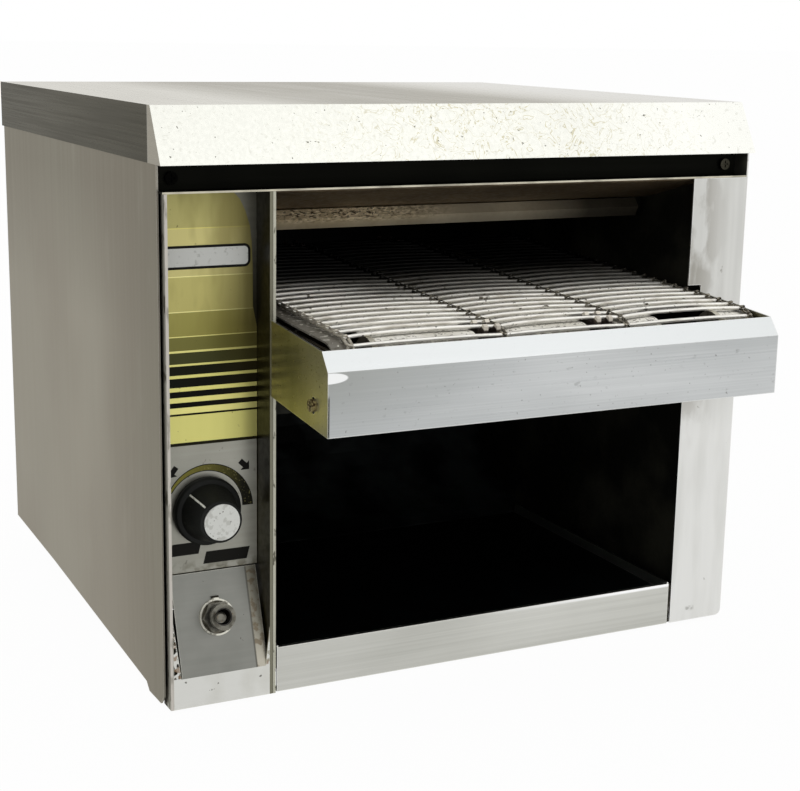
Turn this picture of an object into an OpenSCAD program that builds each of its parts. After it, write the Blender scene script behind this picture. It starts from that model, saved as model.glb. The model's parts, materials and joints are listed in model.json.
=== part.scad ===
// Countertop conveyor toaster with a 10 inch wire belt.
// +Z is up, the fronts of the openings face -Y and the control box is on the left (-X).
// The origin is on the counter, under the middle of the whole appliance.
// Modules place their pieces from the front plane of the housing (y = 0) through in_place().

/* [Housing] */
// Width over the side panels
body_w = 366; // [350:1:400]
// Depth from the front plane to the back of the lid
body_d = 330; // [325:1:380]
// Height from the lower edge of the housing to the top of the lid
body_h = 320; // [318:1:350]
// Thickness of the housing sheet
sheet = 1; // [0.8:0.1:1.4]
// Height of the housing's lower edge over the counter
skirt_gap = 2; // [1:0.5:6]
// Clearance between sheets that are screwed together
seam = 0.1; // [0.05:0.05:0.3]
// Height of the base floor over the housing's lower edge
floor_rise = 19; // [16:0.5:24]
// Width of the post that the right side panel folds round the front
post_w = 39; // [30:1:44]
// Radius of the post's outer bottom corner
post_corner = 4; // [1:0.5:8]
// Width of the flanges that stiffen the panels
flange_w = 12; // [8:1:16]
// Setback of the left panel's front edge behind the front plane
panel_setback = 6; // [0:0.5:8]
// Rise of the side panels' lower edge towards the back
panel_relief = 18; // [8:1:18]
// Diameter of a rubber foot
foot_d = 26; // [18:1:34]
// Distance of a foot's centre from the side and back faces
foot_inset = 36; // [30:1:50]

/* [Lid] */
// Height of the lid's flanges
lid_drop = 29; // [22:1:36]
// Distance of the lid's front fold behind the front plane
lid_setback = 11.3; // [8:0.1:14]
// Reach of the hood's lower edge in front of the front plane
hood_reach = 4.5; // [3:0.5:12]
// Width of the hem under the hood
hood_hem = 4; // [2:0.5:7]
// Depth of the front rail's recess under the hood
rail_recess = 12; // [8:1:20]

/* [Openings] */
// Depth of the openings' top below the lid's top
opening_drop = 42.5; // [38:0.5:50]
// Height of the receiving tray's front lip
tray_lip_h = 26.5; // [22:0.5:34]
// Length of the receiving tray's floor
tray_d = 186; // [150:1:200]
// Clearance round the receiving tray
tray_play = 0.7; // [0.4:0.1:1.5]
// Height of the receiving tray's side walls
tray_side_h = 7; // [4:0.5:12]

/* [Control box] */
// Width of the control box between its walls
control_w = 55.4; // [50:0.2:60]
// Dark gap between the left side panel and the control box
control_gap = 1; // [0.6:0.1:3]
// Thickness of the control box walls and of the divider
wall_t = 1.6; // [1.2:0.1:2]
// Depth of the recess in front of the faceplate
recess_d = 18.5; // [14:0.5:26]
// Height of the faceplate's lower edge over the housing's lower edge
faceplate_z = 70; // [64:0.5:80]
// Height of the front skirt under the sloped switch plate
switch_skirt_h = 17; // [12:0.5:24]
// Height where the two labels meet, over the housing's lower edge
label_split = 141; // [132:0.5:150]
// Thickness of a label
label_t = 0.3; // [0.2:0.1:0.5]

/* [Speed knob] */
// Distance of the knob's axis to the left of the recess's middle
knob_shift = 2.3; // [-3:0.1:4]
// Height of the knob's axis over the housing's lower edge
knob_z = 104.5; // [96:0.5:112]
// Diameter of the knob's skirt
knob_d = 37.6; // [30:0.2:44]
// Distance from the faceplate to the knob's cap
knob_h = 26; // [20:0.5:32]
// Diameter of the metal cap
knob_cap_d = 19.8; // [14:0.2:24]
// Diameter of the control's shaft
knob_shaft_d = 6; // [5:0.1:6.4]

/* [Power switch] */
// Distance of the switch to the right of the recess's middle
switch_shift = 0.7; // [-6:0.1:8]
// Height of the switch's axis on the sloped plate, over the skirt
switch_up = 28.5; // [24:0.5:34]
// Diameter of the threaded bushing
switch_bush_d = 12; // [10:0.5:13]
// Height of the bushing over the plate
switch_bush_h = 11; // [9:0.5:13]
// Diameter of the bright washer
switch_washer_d = 20; // [18:0.5:22]
// Swing of the lever from one side to the other, degrees
switch_throw = 28; // [20:1:30]

/* [Feed shelf] */
// Reach of the feed shelf in front of the front plane
shelf_reach = 73.5; // [70:0.5:90]
// Height of the shelf's top at the front plane, over the housing's lower edge
shelf_top_z = 209.1; // [204:0.5:214]
// Height of the shelf's cheeks
shelf_h = 40.8; // [38:0.5:46]
// Height of the bevel along the shelf's top edge
shelf_bevel_h = 9.4; // [6:0.2:12]
// Depth of the bevel
shelf_bevel_d = 7.5; // [4:0.5:10]
// Distance of the shelf's right cheek inside the oven's right wall
shelf_inset = 2.1; // [1:0.1:3]

/* [Belt] */
// Distance from the oven's left wall to the belt's edge
belt_gap_left = 14.6; // [12:0.2:20]
// Distance from the belt's edge to the oven's right wall
belt_gap_right = 7; // [6:0.2:12]
// Distance between strands
belt_pitch = 10.8; // [10.6:0.1:11]
// Diameter of the belt's wire
belt_wire_d = 1.8; // [1.4:0.1:2]
// Pitches between the two shafts
belt_run = 24; // [22:1:24]
// Fall of the belt towards the front, degrees
belt_slope = 2.3; // [1:0.1:3]
// Distance of the front shaft in front of the front plane
idler_reach = 46.3; // [42:0.1:48]
// Height of the front shaft over the housing's lower edge
idler_z = 193.4; // [190:0.1:196]
// Diameter of both conveyor shafts
shaft_d = 8; // [6:0.5:9]
// Radial clearance of shafts in their bushings
run_fit = 0.06; // [0.02:0.01:0.1]

/* [Drive] */
// Pitch of the roller chain
chain_pitch = 6.35; // [6:0.05:6.5]
// Pitches between the motor shaft and the belt's drive shaft
chain_run = 13; // [12:1:14]
// Direction of the chain from the drive shaft, degrees under the horizontal
chain_fall = 40; // [30:1:50]
// Size of the cooling fan's frame
fan_size = 80; // [70:1:90]
// Depth of the cooling fan
fan_depth = 25; // [20:1:30]
// Reach of the cord gland behind the housing
gland_out = 12; // [8:1:20]

/* [Heating] */
// Diameter of a heating element's sheath
heater_d = 7; // [6:0.5:8]
// Number of elements over the belt
upper_heaters_n = 4; // [2:1:5]
// Number of elements inside the belt's loop
lower_heaters_n = 3; // [2:1:3]
// Depth of the upper baffle's lower edge behind the front plane
baffle_d = 60; // [50:1:64]

/* [Hidden] */
$fn = 48;

// Levels and planes of the housing
bottom_z = skirt_gap;
top_z = bottom_z + body_h;
floor_z = bottom_z + floor_rise;
rail_z = top_z - opening_drop;
side_x = body_w / 2;
back_y = body_d - sheet - seam;
depth_all = shelf_reach + body_d + gland_out;
front_y = shelf_reach - depth_all / 2;

// Control box, divider and oven
control_x0 = -side_x + sheet + control_gap;
control_x1 = control_x0 + wall_t + control_w;
divider_x0 = control_x1 + wall_t + 2 * seam;
oven_x0 = divider_x0 + wall_t;
post_x = side_x - post_w;
oven_x1 = post_x + 11;
face_x = (control_x0 + wall_t + control_x1) / 2;
knob_x = face_x - knob_shift;
switch_x = face_x + switch_shift;

// Belt loop
belt_teeth = 8;
slope_rise = sin(belt_slope);
slope_run = cos(belt_slope);
belt_r = belt_pitch / (2 * sin(180 / belt_teeth));
belt_len = belt_run * belt_pitch;
belt_x0 = oven_x0 + belt_gap_left;
belt_x1 = oven_x1 - belt_gap_right;
belt_w = belt_x1 - belt_x0;
belt_x = (belt_x0 + belt_x1) / 2;
wire_r = belt_wire_d / 2;
shaft_r = shaft_d / 2;
drive_y = -idler_reach + belt_len * slope_run;
drive_z = bottom_z + idler_z + belt_len * slope_rise;
sprocket_xs = [belt_x - 42, belt_x + 28];
joint_xs = [sprocket_xs[0] + 6.2, sprocket_xs[1] + 13];
rail_t = 1.6;
rail_xs = [belt_x0 - rail_t - 7.4, belt_x1 + 1];
rail_half_h = 9;

// Chain drive
chain_teeth = 16;
chain_r = chain_pitch / (2 * sin(180 / chain_teeth));
chain_len = chain_run * chain_pitch;
chain_x = control_x1 - 27;
motor_y = drive_y - chain_len * cos(chain_fall);
motor_z = drive_z - chain_len * sin(chain_fall);
motor_face_x = control_x1 - 2;

// Sloped switch plate
plate_rise = faceplate_z - 0.5 - switch_skirt_h;
plate_angle = atan(recess_d / plate_rise);
switch_y = switch_up * tan(plate_angle);
switch_z = bottom_z + switch_skirt_h + switch_up;
switch_pivot = 3;
switch_rest = -switch_throw / 2;

// Fan
fan_x = (oven_x0 + oven_x1) / 2;
fan_z = floor_z + fan_size / 2 + 8;
fan_y1 = back_y - sheet - seam;

// Screws
screw_r = 1.5;
screw_hole_r = 1.7;
screw_head_r = 3.3;
screw_head_h = 2;

// Moves the origin from the housing's front plane to the middle of the appliance.
module in_place() {
    translate([0, front_y, 0]) children();
}

// Box between two opposite corners.
module block(lo, hi) {
    translate(lo) cube(hi - lo);
}

// Extrudes a profile drawn as [y, z] from x0 to x1.
module along_x(x0, x1) {
    translate([x0, 0, 0]) rotate([90, 0, 90]) linear_extrude(x1 - x0) children();
}

// Cylinder along X, Y or Z that starts at p.
module rod_x(p, r, l) {
    translate(p) rotate([0, 90, 0]) cylinder(r = r, h = l);
}
module rod_y(p, r, l) {
    translate(p) rotate([-90, 0, 0]) cylinder(r = r, h = l);
}
module rod_z(p, r, l) {
    translate(p) cylinder(r = r, h = l);
}

// Closed outline of a folded sheet: the given line and its copy, t to the left of its direction.
function left_of(a, b) = let (d = (b - a) / norm(b - a)) [-d[1], d[0]];
function mitred(line, i, t) =
    let (a = max(i - 1, 0), b = min(i, len(line) - 2))
    let (n1 = left_of(line[a], line[a + 1]), n2 = left_of(line[b], line[b + 1]))
    line[i] + t * (n1 + n2) / (1 + n1 * n2);
function folded(line, t) = concat(line, [for (i = [len(line) - 1:-1:0]) mitred(line, i, t)]);

// Points of a chain or belt loop of equal sprockets: [along, up, angle], first sprocket at 0.
function loop_points(pitch, teeth, run, r) = let (turn = 360 / teeth, half = teeth / 2) concat(
    [for (i = [0:half]) let (a = 90 + i * turn) [r * cos(a), r * sin(a), a]],
    [for (i = [1:run - 1]) [i * pitch, -r, 270]],
    [for (i = [0:half]) let (a = 270 + i * turn) [run * pitch + r * cos(a), r * sin(a), a]],
    [for (i = [1:run - 1]) [(run - i) * pitch, r, 90]]);

// Places its children in the belt's frame: x across, y along the belt, z up, front shaft at 0.
module in_belt() {
    translate([0, -idler_reach, bottom_z + idler_z]) rotate([belt_slope, 0, 0]) children();
}

// Places its children on the sloped plate: +z stands out of the plate at the switch.
module at_switch() {
    translate([switch_x, switch_y, switch_z]) rotate([90 - plate_angle, 0, 0]) children();
}

// Places its children on the faceplate: +z stands out towards the user at the knob.
module at_knob() {
    translate([knob_x, recess_d, bottom_z + knob_z]) rotate([90, 0, 0]) children();
}

// Screw along -z with its head on z = 0, the head a low dome cut by a cross.
module screw(l = 6) {
    difference() {
        cylinder(r = screw_head_r, h = screw_head_h);
        for (a = [0, 90]) rotate([0, 0, a])
            translate([-2, -0.4, screw_head_h - 0.8]) cube([4, 0.8, 1]);
    }
    translate([0, 0, -l]) cylinder(r = screw_r, h = l);
}

// Where the screws of the housing stand
rail_screw_x = side_x - 9.5;
rail_screw_z = rail_z + 6;
lid_screw_xs = [-side_x + 26, 0, side_x - 26];
lid_screw_z = top_z - lid_drop / 2;
back_screw_zs = [floor_z + 24, floor_z + 130];
back_screw_x = side_x - sheet - flange_w / 2;
foot_xs = [-side_x + foot_inset, side_x - foot_inset];
foot_ys = [foot_inset, back_y - foot_inset];

// ---------------------------------------------------------------- housing

// Lid, folded at the back, the sides and the slanted front hood.
module top_cover() {
    lid_x = side_x + seam + sheet;
    low = top_z - lid_drop;
    color([0.66, 0.65, 0.63]) in_place() difference() {
        union() {
            along_x(-lid_x, lid_x) polygon(folded([[body_d, low], [body_d, top_z],
                [lid_setback, top_z], [-hood_reach, low], [-hood_reach + hood_hem, low]], sheet));
            for (x = [-lid_x, lid_x - sheet]) along_x(x, x + sheet)
                polygon([[body_d, low], [body_d, top_z], [lid_setback, top_z], [-hood_reach, low]]);
        }
        for (x = lid_screw_xs) rod_y([x, body_d - 3, lid_screw_z], screw_hole_r, 6);
    }
}

// Slope of the hood, and the depth at a height of the line just inside its sheet
hood_slope = (lid_setback + hood_reach) / lid_drop;
hood_skin = sheet * sqrt(1 + hood_slope * hood_slope) + 2 * seam;
function inside_hood(z) = lid_setback + hood_skin - (top_z - z) * hood_slope;

// Outline of a side panel as [y, z] from its front edge back: the hood trims its top corner,
// and the lower edge rises to the back.
function side_outline(front) = let (top = top_z - sheet - seam, rear = back_y - sheet - seam)
    [[inside_hood(top), top], [front, top_z - (lid_setback + hood_skin - front) / hood_slope],
    [front, bottom_z + 6], [11, bottom_z + 0.5], [31, bottom_z], [36, bottom_z + 4],
    [rear - 98, bottom_z + panel_relief - 3.5], [rear, bottom_z + panel_relief], [rear, top]];

// Panel with its top and rear flanges, drawn on the right side.
module side_shell(front) {
    top = top_z - sheet - seam;
    rear = back_y - sheet - seam;
    along_x(side_x - sheet, side_x) polygon(side_outline(front));
    block([side_x - flange_w, rail_recess + 4, top - sheet], [side_x, rear, top]);
    difference() {
        block([side_x - flange_w, rear - sheet, bottom_z + panel_relief], [side_x, rear, top]);
        for (z = back_screw_zs) rod_y([back_screw_x, rear - 3, z], screw_hole_r, 6);
    }
}

module left_side_panel() {
    color([0.60, 0.58, 0.55]) in_place() mirror([1, 0, 0])
        side_shell(panel_setback);
}

// The right panel folds round the front as a wide post, notched where the conveyor runs through.
module right_side_panel() {
    post_top = rail_z - sheet - seam;
    foot = bottom_z + 0.5;
    color([0.72, 0.72, 0.71]) in_place() {
        side_shell(0);
        difference() {
            block([post_x, 0, foot], [side_x, sheet, post_top]);
            block([post_x - 1, -1, shelf_back_low + 10],
                [oven_x1 - 2, sheet + 1, shelf_back_top + 4]);
            difference() {
                block([side_x - post_corner, -1, foot - 1],
                    [side_x + 1, sheet + 1, foot + post_corner]);
                rod_y([side_x - post_corner, -2, foot + post_corner], post_corner, sheet + 4);
            }
        }
    }
}

// Back of the housing with the fan's hole, louvre slots and the cord gland's hole.
module rear_panel() {
    slot_w = 24;
    slot_h = 3.5;
    low = bottom_z + panel_relief;
    color([0.62, 0.61, 0.59]) in_place() difference() {
        block([-side_x, back_y - sheet, low], [side_x, back_y, top_z - sheet - seam]);
        rod_y([fan_x, back_y - 5, fan_z], fan_size / 2 - 4, 10);
        for (sx = [-1, 1], sz = [-1, 1])
            rod_y([fan_x + sx * fan_hole_at, back_y - 5, fan_z + sz * fan_hole_at],
                screw_hole_r, 10);
        for (col = [-1:2], row = [0:7]) let (x = fan_x + (col - 0.5) * 38, z = floor_z + 168)
            block([x - slot_w / 2, back_y - 5, z + row * 8],
                [x + slot_w / 2, back_y + 5, z + row * 8 + slot_h]);
        for (row = [0:11]) let (x = (control_x0 + control_x1) / 2, z = floor_z + 110)
            block([x - slot_w / 2, back_y - 5, z + row * 8],
                [x + slot_w / 2, back_y + 5, z + row * 8 + slot_h]);
        rod_y([gland_x, back_y - 5, gland_z], gland_r + 0.15, 10);
        for (x = lid_screw_xs) rod_y([x, back_y - 5, lid_screw_z], screw_hole_r, 10);
        for (s = [-1, 1], z = back_screw_zs)
            rod_y([s * back_screw_x, back_y - 5, z], screw_hole_r, 10);
    }
}

// Floor of the housing with its front flange turned down and its side flanges turned up.
module base_pan() {
    half = side_x - sheet - seam;
    rear = back_y - 2 * sheet - 2 * seam;
    color([0.55, 0.54, 0.52]) in_place() difference() {
        union() {
            block([-half, 12, floor_z], [half, rear, floor_z + sheet]);
            block([-half, 12, floor_z - 10], [half, 12 + sheet, floor_z + sheet]);
            for (x = [-half, half - sheet])
                block([x, 32, floor_z], [x + sheet, rear, floor_z + flange_w]);
        }
        for (x = foot_xs, y = foot_ys) rod_z([x, y, floor_z - 1], screw_hole_r, 4);
        for (i = [0:9]) let (x = control_x0 + 12)
            block([x, 96 + i * 9, floor_z - 1], [x + 32, 100 + i * 9, floor_z + 3]);
    }
}

// Rubber feet under the base floor, each with its screw's hole and a recess for its head.
module feet() {
    color([0.10, 0.10, 0.10]) in_place() for (x = foot_xs, y = foot_ys) difference() {
        translate([x, y, 0])
            cylinder(r1 = foot_d / 2 - 2, r2 = foot_d / 2, h = floor_z, $fn = 48);
        rod_z([x, y, -1], screw_head_r + 0.8, floor_z - 5);
        rod_z([x, y, 0], screw_hole_r, floor_z + 1);
    }
}

// Rail over the openings: a thin shelf whose front edge shows, a recessed web and a top flange.
module front_rail() {
    half = side_x - sheet - seam;
    top = top_z - 2 * sheet - 2 * seam;
    color([0.30, 0.29, 0.26]) in_place() difference() {
        along_x(-half, half) polygon(folded([[0, rail_z - sheet], [rail_recess + sheet, rail_z - sheet],
            [rail_recess + sheet, top], [rail_recess + sheet + 2, top]], sheet));
        for (s = [-1, 1])
            rod_y([s * rail_screw_x, rail_recess - 2, rail_screw_z], screw_hole_r, 6);
    }
}

// Screws of the rail, the lid, the rear panel and the feet.
module housing_screws() {
    color([0.74, 0.74, 0.72]) in_place() {
        for (s = [-1, 1])
            translate([s * rail_screw_x, rail_recess, rail_screw_z]) rotate([90, 0, 0]) screw(5);
        for (x = lid_screw_xs) translate([x, body_d, lid_screw_z]) rotate([-90, 0, 0]) screw();
        for (s = [-1, 1], z = back_screw_zs)
            translate([s * back_screw_x, back_y, z]) rotate([-90, 0, 0]) screw();
        for (x = foot_xs, y = foot_ys)
            translate([x, y, floor_z - 6]) rotate([180, 0, 0]) screw(9);
    }
}

// ---------------------------------------------------------------- control box

// Room for the base pan under the walls that stand on it.
module pan_cut(x, t) {
    block([x - 1, 11.5, bottom_z - 1], [x + t + 1, body_d, floor_z + sheet + seam]);
}

// Left wall of the recess, folded out to the side panel behind the dark gap.
module control_wall_left() {
    top = rail_z - sheet - seam;
    color([0.58, 0.57, 0.54]) in_place() difference() {
        union() {
            block([control_x0, 0, bottom_z], [control_x0 + wall_t, 31, top]);
            block([control_x0 - control_gap + seam, 31 - sheet, floor_z + flange_w + 1],
                [control_x0 + wall_t, 31, top]);
        }
        pan_cut(control_x0 - control_gap, wall_t + control_gap);
    }
}

// Right wall of the recess, the outer half of the divider's double edge.
module control_wall_right() {
    color([0.25, 0.25, 0.20]) in_place() difference() {
        block([control_x1, 0, bottom_z],
            [control_x1 + wall_t, recess_d + 10, rail_z - sheet - seam]);
        pan_cut(control_x1, wall_t);
    }
}

// Upright faceplate with side flanges folded back and the speed control's hole.
module control_faceplate() {
    x0 = control_x0 + wall_t + seam;
    x1 = control_x1 - seam;
    low = bottom_z + faceplate_z;
    high = rail_z - sheet - seam;
    color([0.50, 0.49, 0.44]) in_place() difference() {
        union() {
            block([x0, recess_d, low], [x1, recess_d + sheet, high]);
            for (x = [x0, x1 - sheet])
                block([x, recess_d, low + 4], [x + sheet, recess_d + 9, high]);
        }
        at_knob() translate([0, 0, -5]) cylinder(r = speed_bush_r + 0.2, h = 10);
    }
}

// Gold label with a worn-off top corner. It carries no words.
module upper_label() {
    x0 = control_x0 + wall_t + 0.4;
    x1 = control_x1 - 0.2;
    low = bottom_z + label_split + 0.3;
    high = rail_z - sheet - 0.6;
    worn = [[0, 73], [2.2, 62], [2.3, 40], [2.8, 27], [3.8, 19], [6.3, 11], [9.2, 5], [13.9, 0]];
    color([0.72, 0.65, 0.22]) in_place() translate([0, recess_d, 0]) rotate([90, 0, 0])
        linear_extrude(label_t) polygon(concat([[x0, high], [x0, low], [x1, low]],
            [for (p = worn) [x1 - p[0], high - p[1]]]));
}

// Silver label round the knob.
module lower_label() {
    x0 = control_x0 + wall_t + 0.4;
    x1 = control_x1 - 0.4;
    color([0.62, 0.61, 0.55]) in_place() difference() {
        block([x0, recess_d - label_t, bottom_z + faceplate_z + 0.4],
            [x1, recess_d, bottom_z + label_split]);
        at_knob() translate([0, 0, -5]) cylinder(r = speed_nut_r + 0.6, h = 10);
    }
}

// Front skirt and sloped plate in one folded sheet, with two small gussets at its sides.
module switch_bracket() {
    x0 = control_x0 + wall_t + seam;
    x1 = control_x1 - seam;
    knee = bottom_z + switch_skirt_h;
    high = bottom_z + faceplate_z - 0.5;
    color([0.66, 0.66, 0.65]) in_place() difference() {
        union() {
            along_x(x0, x1)
                polygon(folded([[9, bottom_z], [0, bottom_z], [0, knee]], -sheet));
            along_x(x0 + 4.8, x1 - 1.2)
                polygon(folded([[0, knee - 3], [0, knee], [recess_d, high],
                    [recess_d + 7, high]], -sheet));
            translate([0, sheet, 0]) rotate([90, 0, 0]) linear_extrude(sheet) {
                polygon([[x0, knee - 0.5], [x0 + 4.4, knee - 0.5], [x0, knee + 32]]);
                polygon([[x1, knee - 0.5], [x1 - 2.4, knee - 0.5], [x1, knee + 22]]);
            }
        }
        at_switch() translate([0, 0, -6]) cylinder(r = switch_bush_d / 2 + 0.2, h = 9);
    }
}

speed_bush_r = 4.5;
speed_nut_r = 6.5;
speed_body_r = 12;
knob_cone = [[knob_d / 2 - 3, 6.6], [knob_cap_d / 2 + 1.7, knob_h - 1.4]];

// Rotary speed control behind the faceplate: body, threaded bushing and nut.
module speed_control() {
    color([0.35, 0.33, 0.28]) in_place() at_knob() difference() {
        union() {
            translate([0, 0, -sheet - 13]) cylinder(r = speed_body_r, h = 13);
            translate([0, 0, -sheet - 1]) cylinder(r = speed_bush_r, h = sheet + 7);
            translate([0, 0, label_t]) cylinder(r = speed_nut_r, h = 2.4, $fn = 6);
            for (x = [-6, 0, 6])
                translate([x - 1.5, -speed_body_r - 6, -sheet - 8]) cube([3, 8, 1]);
        }
        translate([0, 0, -sheet - 9]) cylinder(r = knob_shaft_d / 2 + run_fit, h = 40);
    }
}

// Shaft of the speed control, turned by the knob.
module speed_shaft() {
    color([0.70, 0.69, 0.66]) in_place() at_knob()
        translate([0, 0, -sheet - 8.8]) cylinder(r = knob_shaft_d / 2, h = knob_h - 3);
}

// Black knob: a wide skirt and a cone, hollow over the control's nut.
module speed_knob() {
    skirt_r = knob_d / 2;
    color([0.05, 0.05, 0.05]) in_place() at_knob() difference() {
        rotate_extrude() polygon([[0, 1.2], [skirt_r - 0.5, 1.2], [skirt_r, 1.9], [skirt_r, 4.6],
            [skirt_r - 0.9, 5.8], knob_cone[0], knob_cone[1],
            [knob_cone[1][0] - 0.6, knob_h - 0.6], [0, knob_h - 0.6]]);
        translate([0, 0, -1]) cylinder(r = speed_nut_r + 3, h = 10);
        cylinder(r = knob_shaft_d / 2 + 0.02, h = knob_h - 8);
        translate([0, 0, knob_h - 1.2]) cylinder(r = knob_cap_d / 2 + 0.1, h = 2);
    }
}

// Metal disc let into the knob's end.
module knob_cap() {
    color([0.80, 0.80, 0.78]) in_place() at_knob()
        translate([0, 0, knob_h - 1.2]) cylinder(r = knob_cap_d / 2, h = 1.2);
}

// Point on the knob's cone at a share of its height, just clear of the surface.
function cone_at(share) = let (low = knob_cone[0], high = knob_cone[1])
    low + share * (high - low) + [0.02, 0];

// White pointer line down the cone, at half past ten.
module knob_pointer() {
    color([0.92, 0.92, 0.90]) in_place() at_knob() rotate([0, 0, 135]) rotate([90, 0, 0])
        translate([0, 0, -0.5]) linear_extrude(1) polygon(folded([cone_at(0.04), cone_at(0.94)], -0.3));
}

// Circuit board of the speed control on two stand-offs.
module control_board() {
    x = control_x1 - 5;
    color([0.12, 0.34, 0.20]) in_place() {
        block([x - 1.6, 44, bottom_z + 62], [x, 112, bottom_z + 128]);
        for (y = [50, 106], z = [bottom_z + 68, bottom_z + 122])
            rod_x([x, y, z], 2.5, board_stand(y, x));
        block([x - 18, 54, bottom_z + 72], [x - 1.6, 74, bottom_z + 94]);
        block([x - 14, 80, bottom_z + 70], [x - 1.6, 90, bottom_z + 100]);
        rod_x([x - 15, 64, bottom_z + 108], 5, 13.4);
        block([x - 12, 80, bottom_z + 108], [x - 1.6, 106, bottom_z + 120]);
    }
}
// The stand-offs reach the divider, which lies behind the recess wall.
function board_stand(y, x) = divider_x0 - x - seam;

// Toggle switch: body behind the plate and a threaded bushing through it.
module power_switch() {
    color([0.20, 0.20, 0.20]) in_place() at_switch() difference() {
        union() {
            translate([-9, -14, -sheet - 20]) cube([18, 28, 20]);
            translate([0, 0, -sheet - 1]) cylinder(r = switch_bush_d / 2, h = sheet + 1 + switch_bush_h);
            for (y = [-9, 0, 9]) translate([-3, y - 0.5, -sheet - 27]) cube([6, 1, 8]);
        }
        translate([0, 0, switch_pivot - 4.2]) cylinder(r = 4.2, h = switch_bush_h + 6);
    }
}

// Bright washer with its locating tab.
module switch_washer() {
    color([0.80, 0.80, 0.78]) in_place() at_switch() difference() {
        union() {
            translate([0, 0, 0.05]) cylinder(r = switch_washer_d / 2, h = 1);
            translate([-1.8, switch_washer_d / 2 - 1, 0.05]) cube([3.6, 2.6, 1.8]);
        }
        translate([0, 0, -1]) cylinder(r = switch_bush_d / 2 + 0.15, h = 4);
    }
}

// Hexagonal nut and the round end nut of the bushing.
module switch_nut() {
    color([0.24, 0.24, 0.23]) in_place() at_switch() difference() {
        union() {
            translate([0, 0, 1.1]) cylinder(r = 9, h = 3.4, $fn = 6);
            translate([0, 0, switch_bush_h - 2.6]) cylinder(r = switch_bush_d / 2 + 1, h = 3);
        }
        translate([0, 0, -1]) cylinder(r = switch_bush_d / 2 + 0.1, h = switch_bush_h + 1.05);
        cylinder(r = 4.9, h = 30);
    }
}

// Short bat lever, tilted to one side of the plate's normal.
module switch_lever() {
    color([0.42, 0.42, 0.41]) in_place() at_switch() translate([0, 0, switch_pivot])
        rotate([0, switch_rest, 0]) {
            sphere(r = 3);
            rotate_extrude() polygon([[0, 0], [1.5, 0], [1.7, 7], [2.9, 11.5], [2.9, 12.8],
                [2, 13.8], [0, 14]]);
        }
}

// ---------------------------------------------------------------- oven

heater_ys = [for (i = [0:upper_heaters_n - 1]) baffle_d + 30 + i * (upper_heaters_n > 4 ? 34 : 42)];
heater_z = rail_z - 15.5;
guard_len = 97;
reflector_y = heater_ys[upper_heaters_n - 1] + 26;
lower_us = [for (i = [0:lower_heaters_n - 1]) guard_len + 13 + i * 46];
heater_hole_r = heater_d / 2 + 2.2;

// Holes of the elements through a wall, in the housing's frame.
module heater_holes(x, t) {
    for (y = heater_ys) rod_x([x - 1, y, heater_z], heater_hole_r, t + 2);
    in_belt() for (u = lower_us) rod_x([x - 1, u, 0], heater_hole_r, t + 2);
}

// Bores of the drive shaft and of the rails' spacers through a wall.
module shaft_hole(x, t) {
    rod_x([x - 1, drive_y, drive_z], shaft_r + 3.6, t + 2);
}

// Left wall of the oven, the inner half of the divider's double edge.
module divider_wall() {
    color([0.42, 0.41, 0.37]) in_place() difference() {
        block([divider_x0, 0, bottom_z], [oven_x0, fan_y1, rail_z - sheet - seam]);
        pan_cut(divider_x0, wall_t);
        heater_holes(divider_x0, wall_t);
        shaft_hole(divider_x0, wall_t);
        spacer_holes(divider_x0, wall_t);
        for (z = [floor_z + 20, floor_z + 40, floor_z + 60])
            rod_x([divider_x0 - 1, fan_y1 - 40, z], 6, wall_t + 2);
    }
}

// Right wall of the oven.
module oven_right_wall() {
    color([0.20, 0.20, 0.19]) in_place() difference() {
        union() {
            block([oven_x1, sheet + seam, floor_z + sheet + seam],
                [oven_x1 + sheet, fan_y1, rail_z - sheet - seam]);
            block([oven_x1, sheet + seam, floor_z + sheet + seam],
                [oven_x1 + flange_w, 2 * sheet + seam, rail_z - sheet - seam]);
        }
        heater_holes(oven_x1, sheet);
        shaft_hole(oven_x1, sheet);
        spacer_holes(oven_x1, sheet);
    }
}

// Level of the baffle's lower flange, and the height of the bar under it
baffle_z = rail_z - 17.5;
bar_h = 11.5;

// Heat-tinted baffle that slopes down from the front rail.
module front_baffle() {
    color([0.42, 0.33, 0.24]) in_place() along_x(oven_x0 + seam, oven_x1 - seam)
        polygon(folded([[3, rail_z - 2 * sheet - seam], [baffle_d + 1, baffle_z],
            [baffle_d + 9, baffle_z]], sheet));
}

// Folded bar along the baffle's lower edge, short of the right wall.
module baffle_bar() {
    color([0.60, 0.53, 0.43]) in_place() along_x(oven_x0 + seam, oven_x1 - 10)
        polygon(folded([[baffle_d + 8, baffle_z - bar_h], [baffle_d, baffle_z - bar_h],
            [baffle_d - 3, baffle_z - bar_h / 2], [baffle_d + 1, baffle_z - 0.7],
            [baffle_d + 8, baffle_z - 0.7]], -sheet));
}

// Reflector over the upper elements, closed at the back.
module top_reflector() {
    color([0.62, 0.61, 0.58]) in_place() along_x(oven_x0 + seam, oven_x1 - seam)
        polygon(folded([[baffle_d + 9.2 + seam, rail_z - 27.5],
            [baffle_d + 9.2 + seam, rail_z - 2.5], [reflector_y, rail_z - 2.5],
            [reflector_y + 14, rail_z - 25.5]], -sheet));
}

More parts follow.
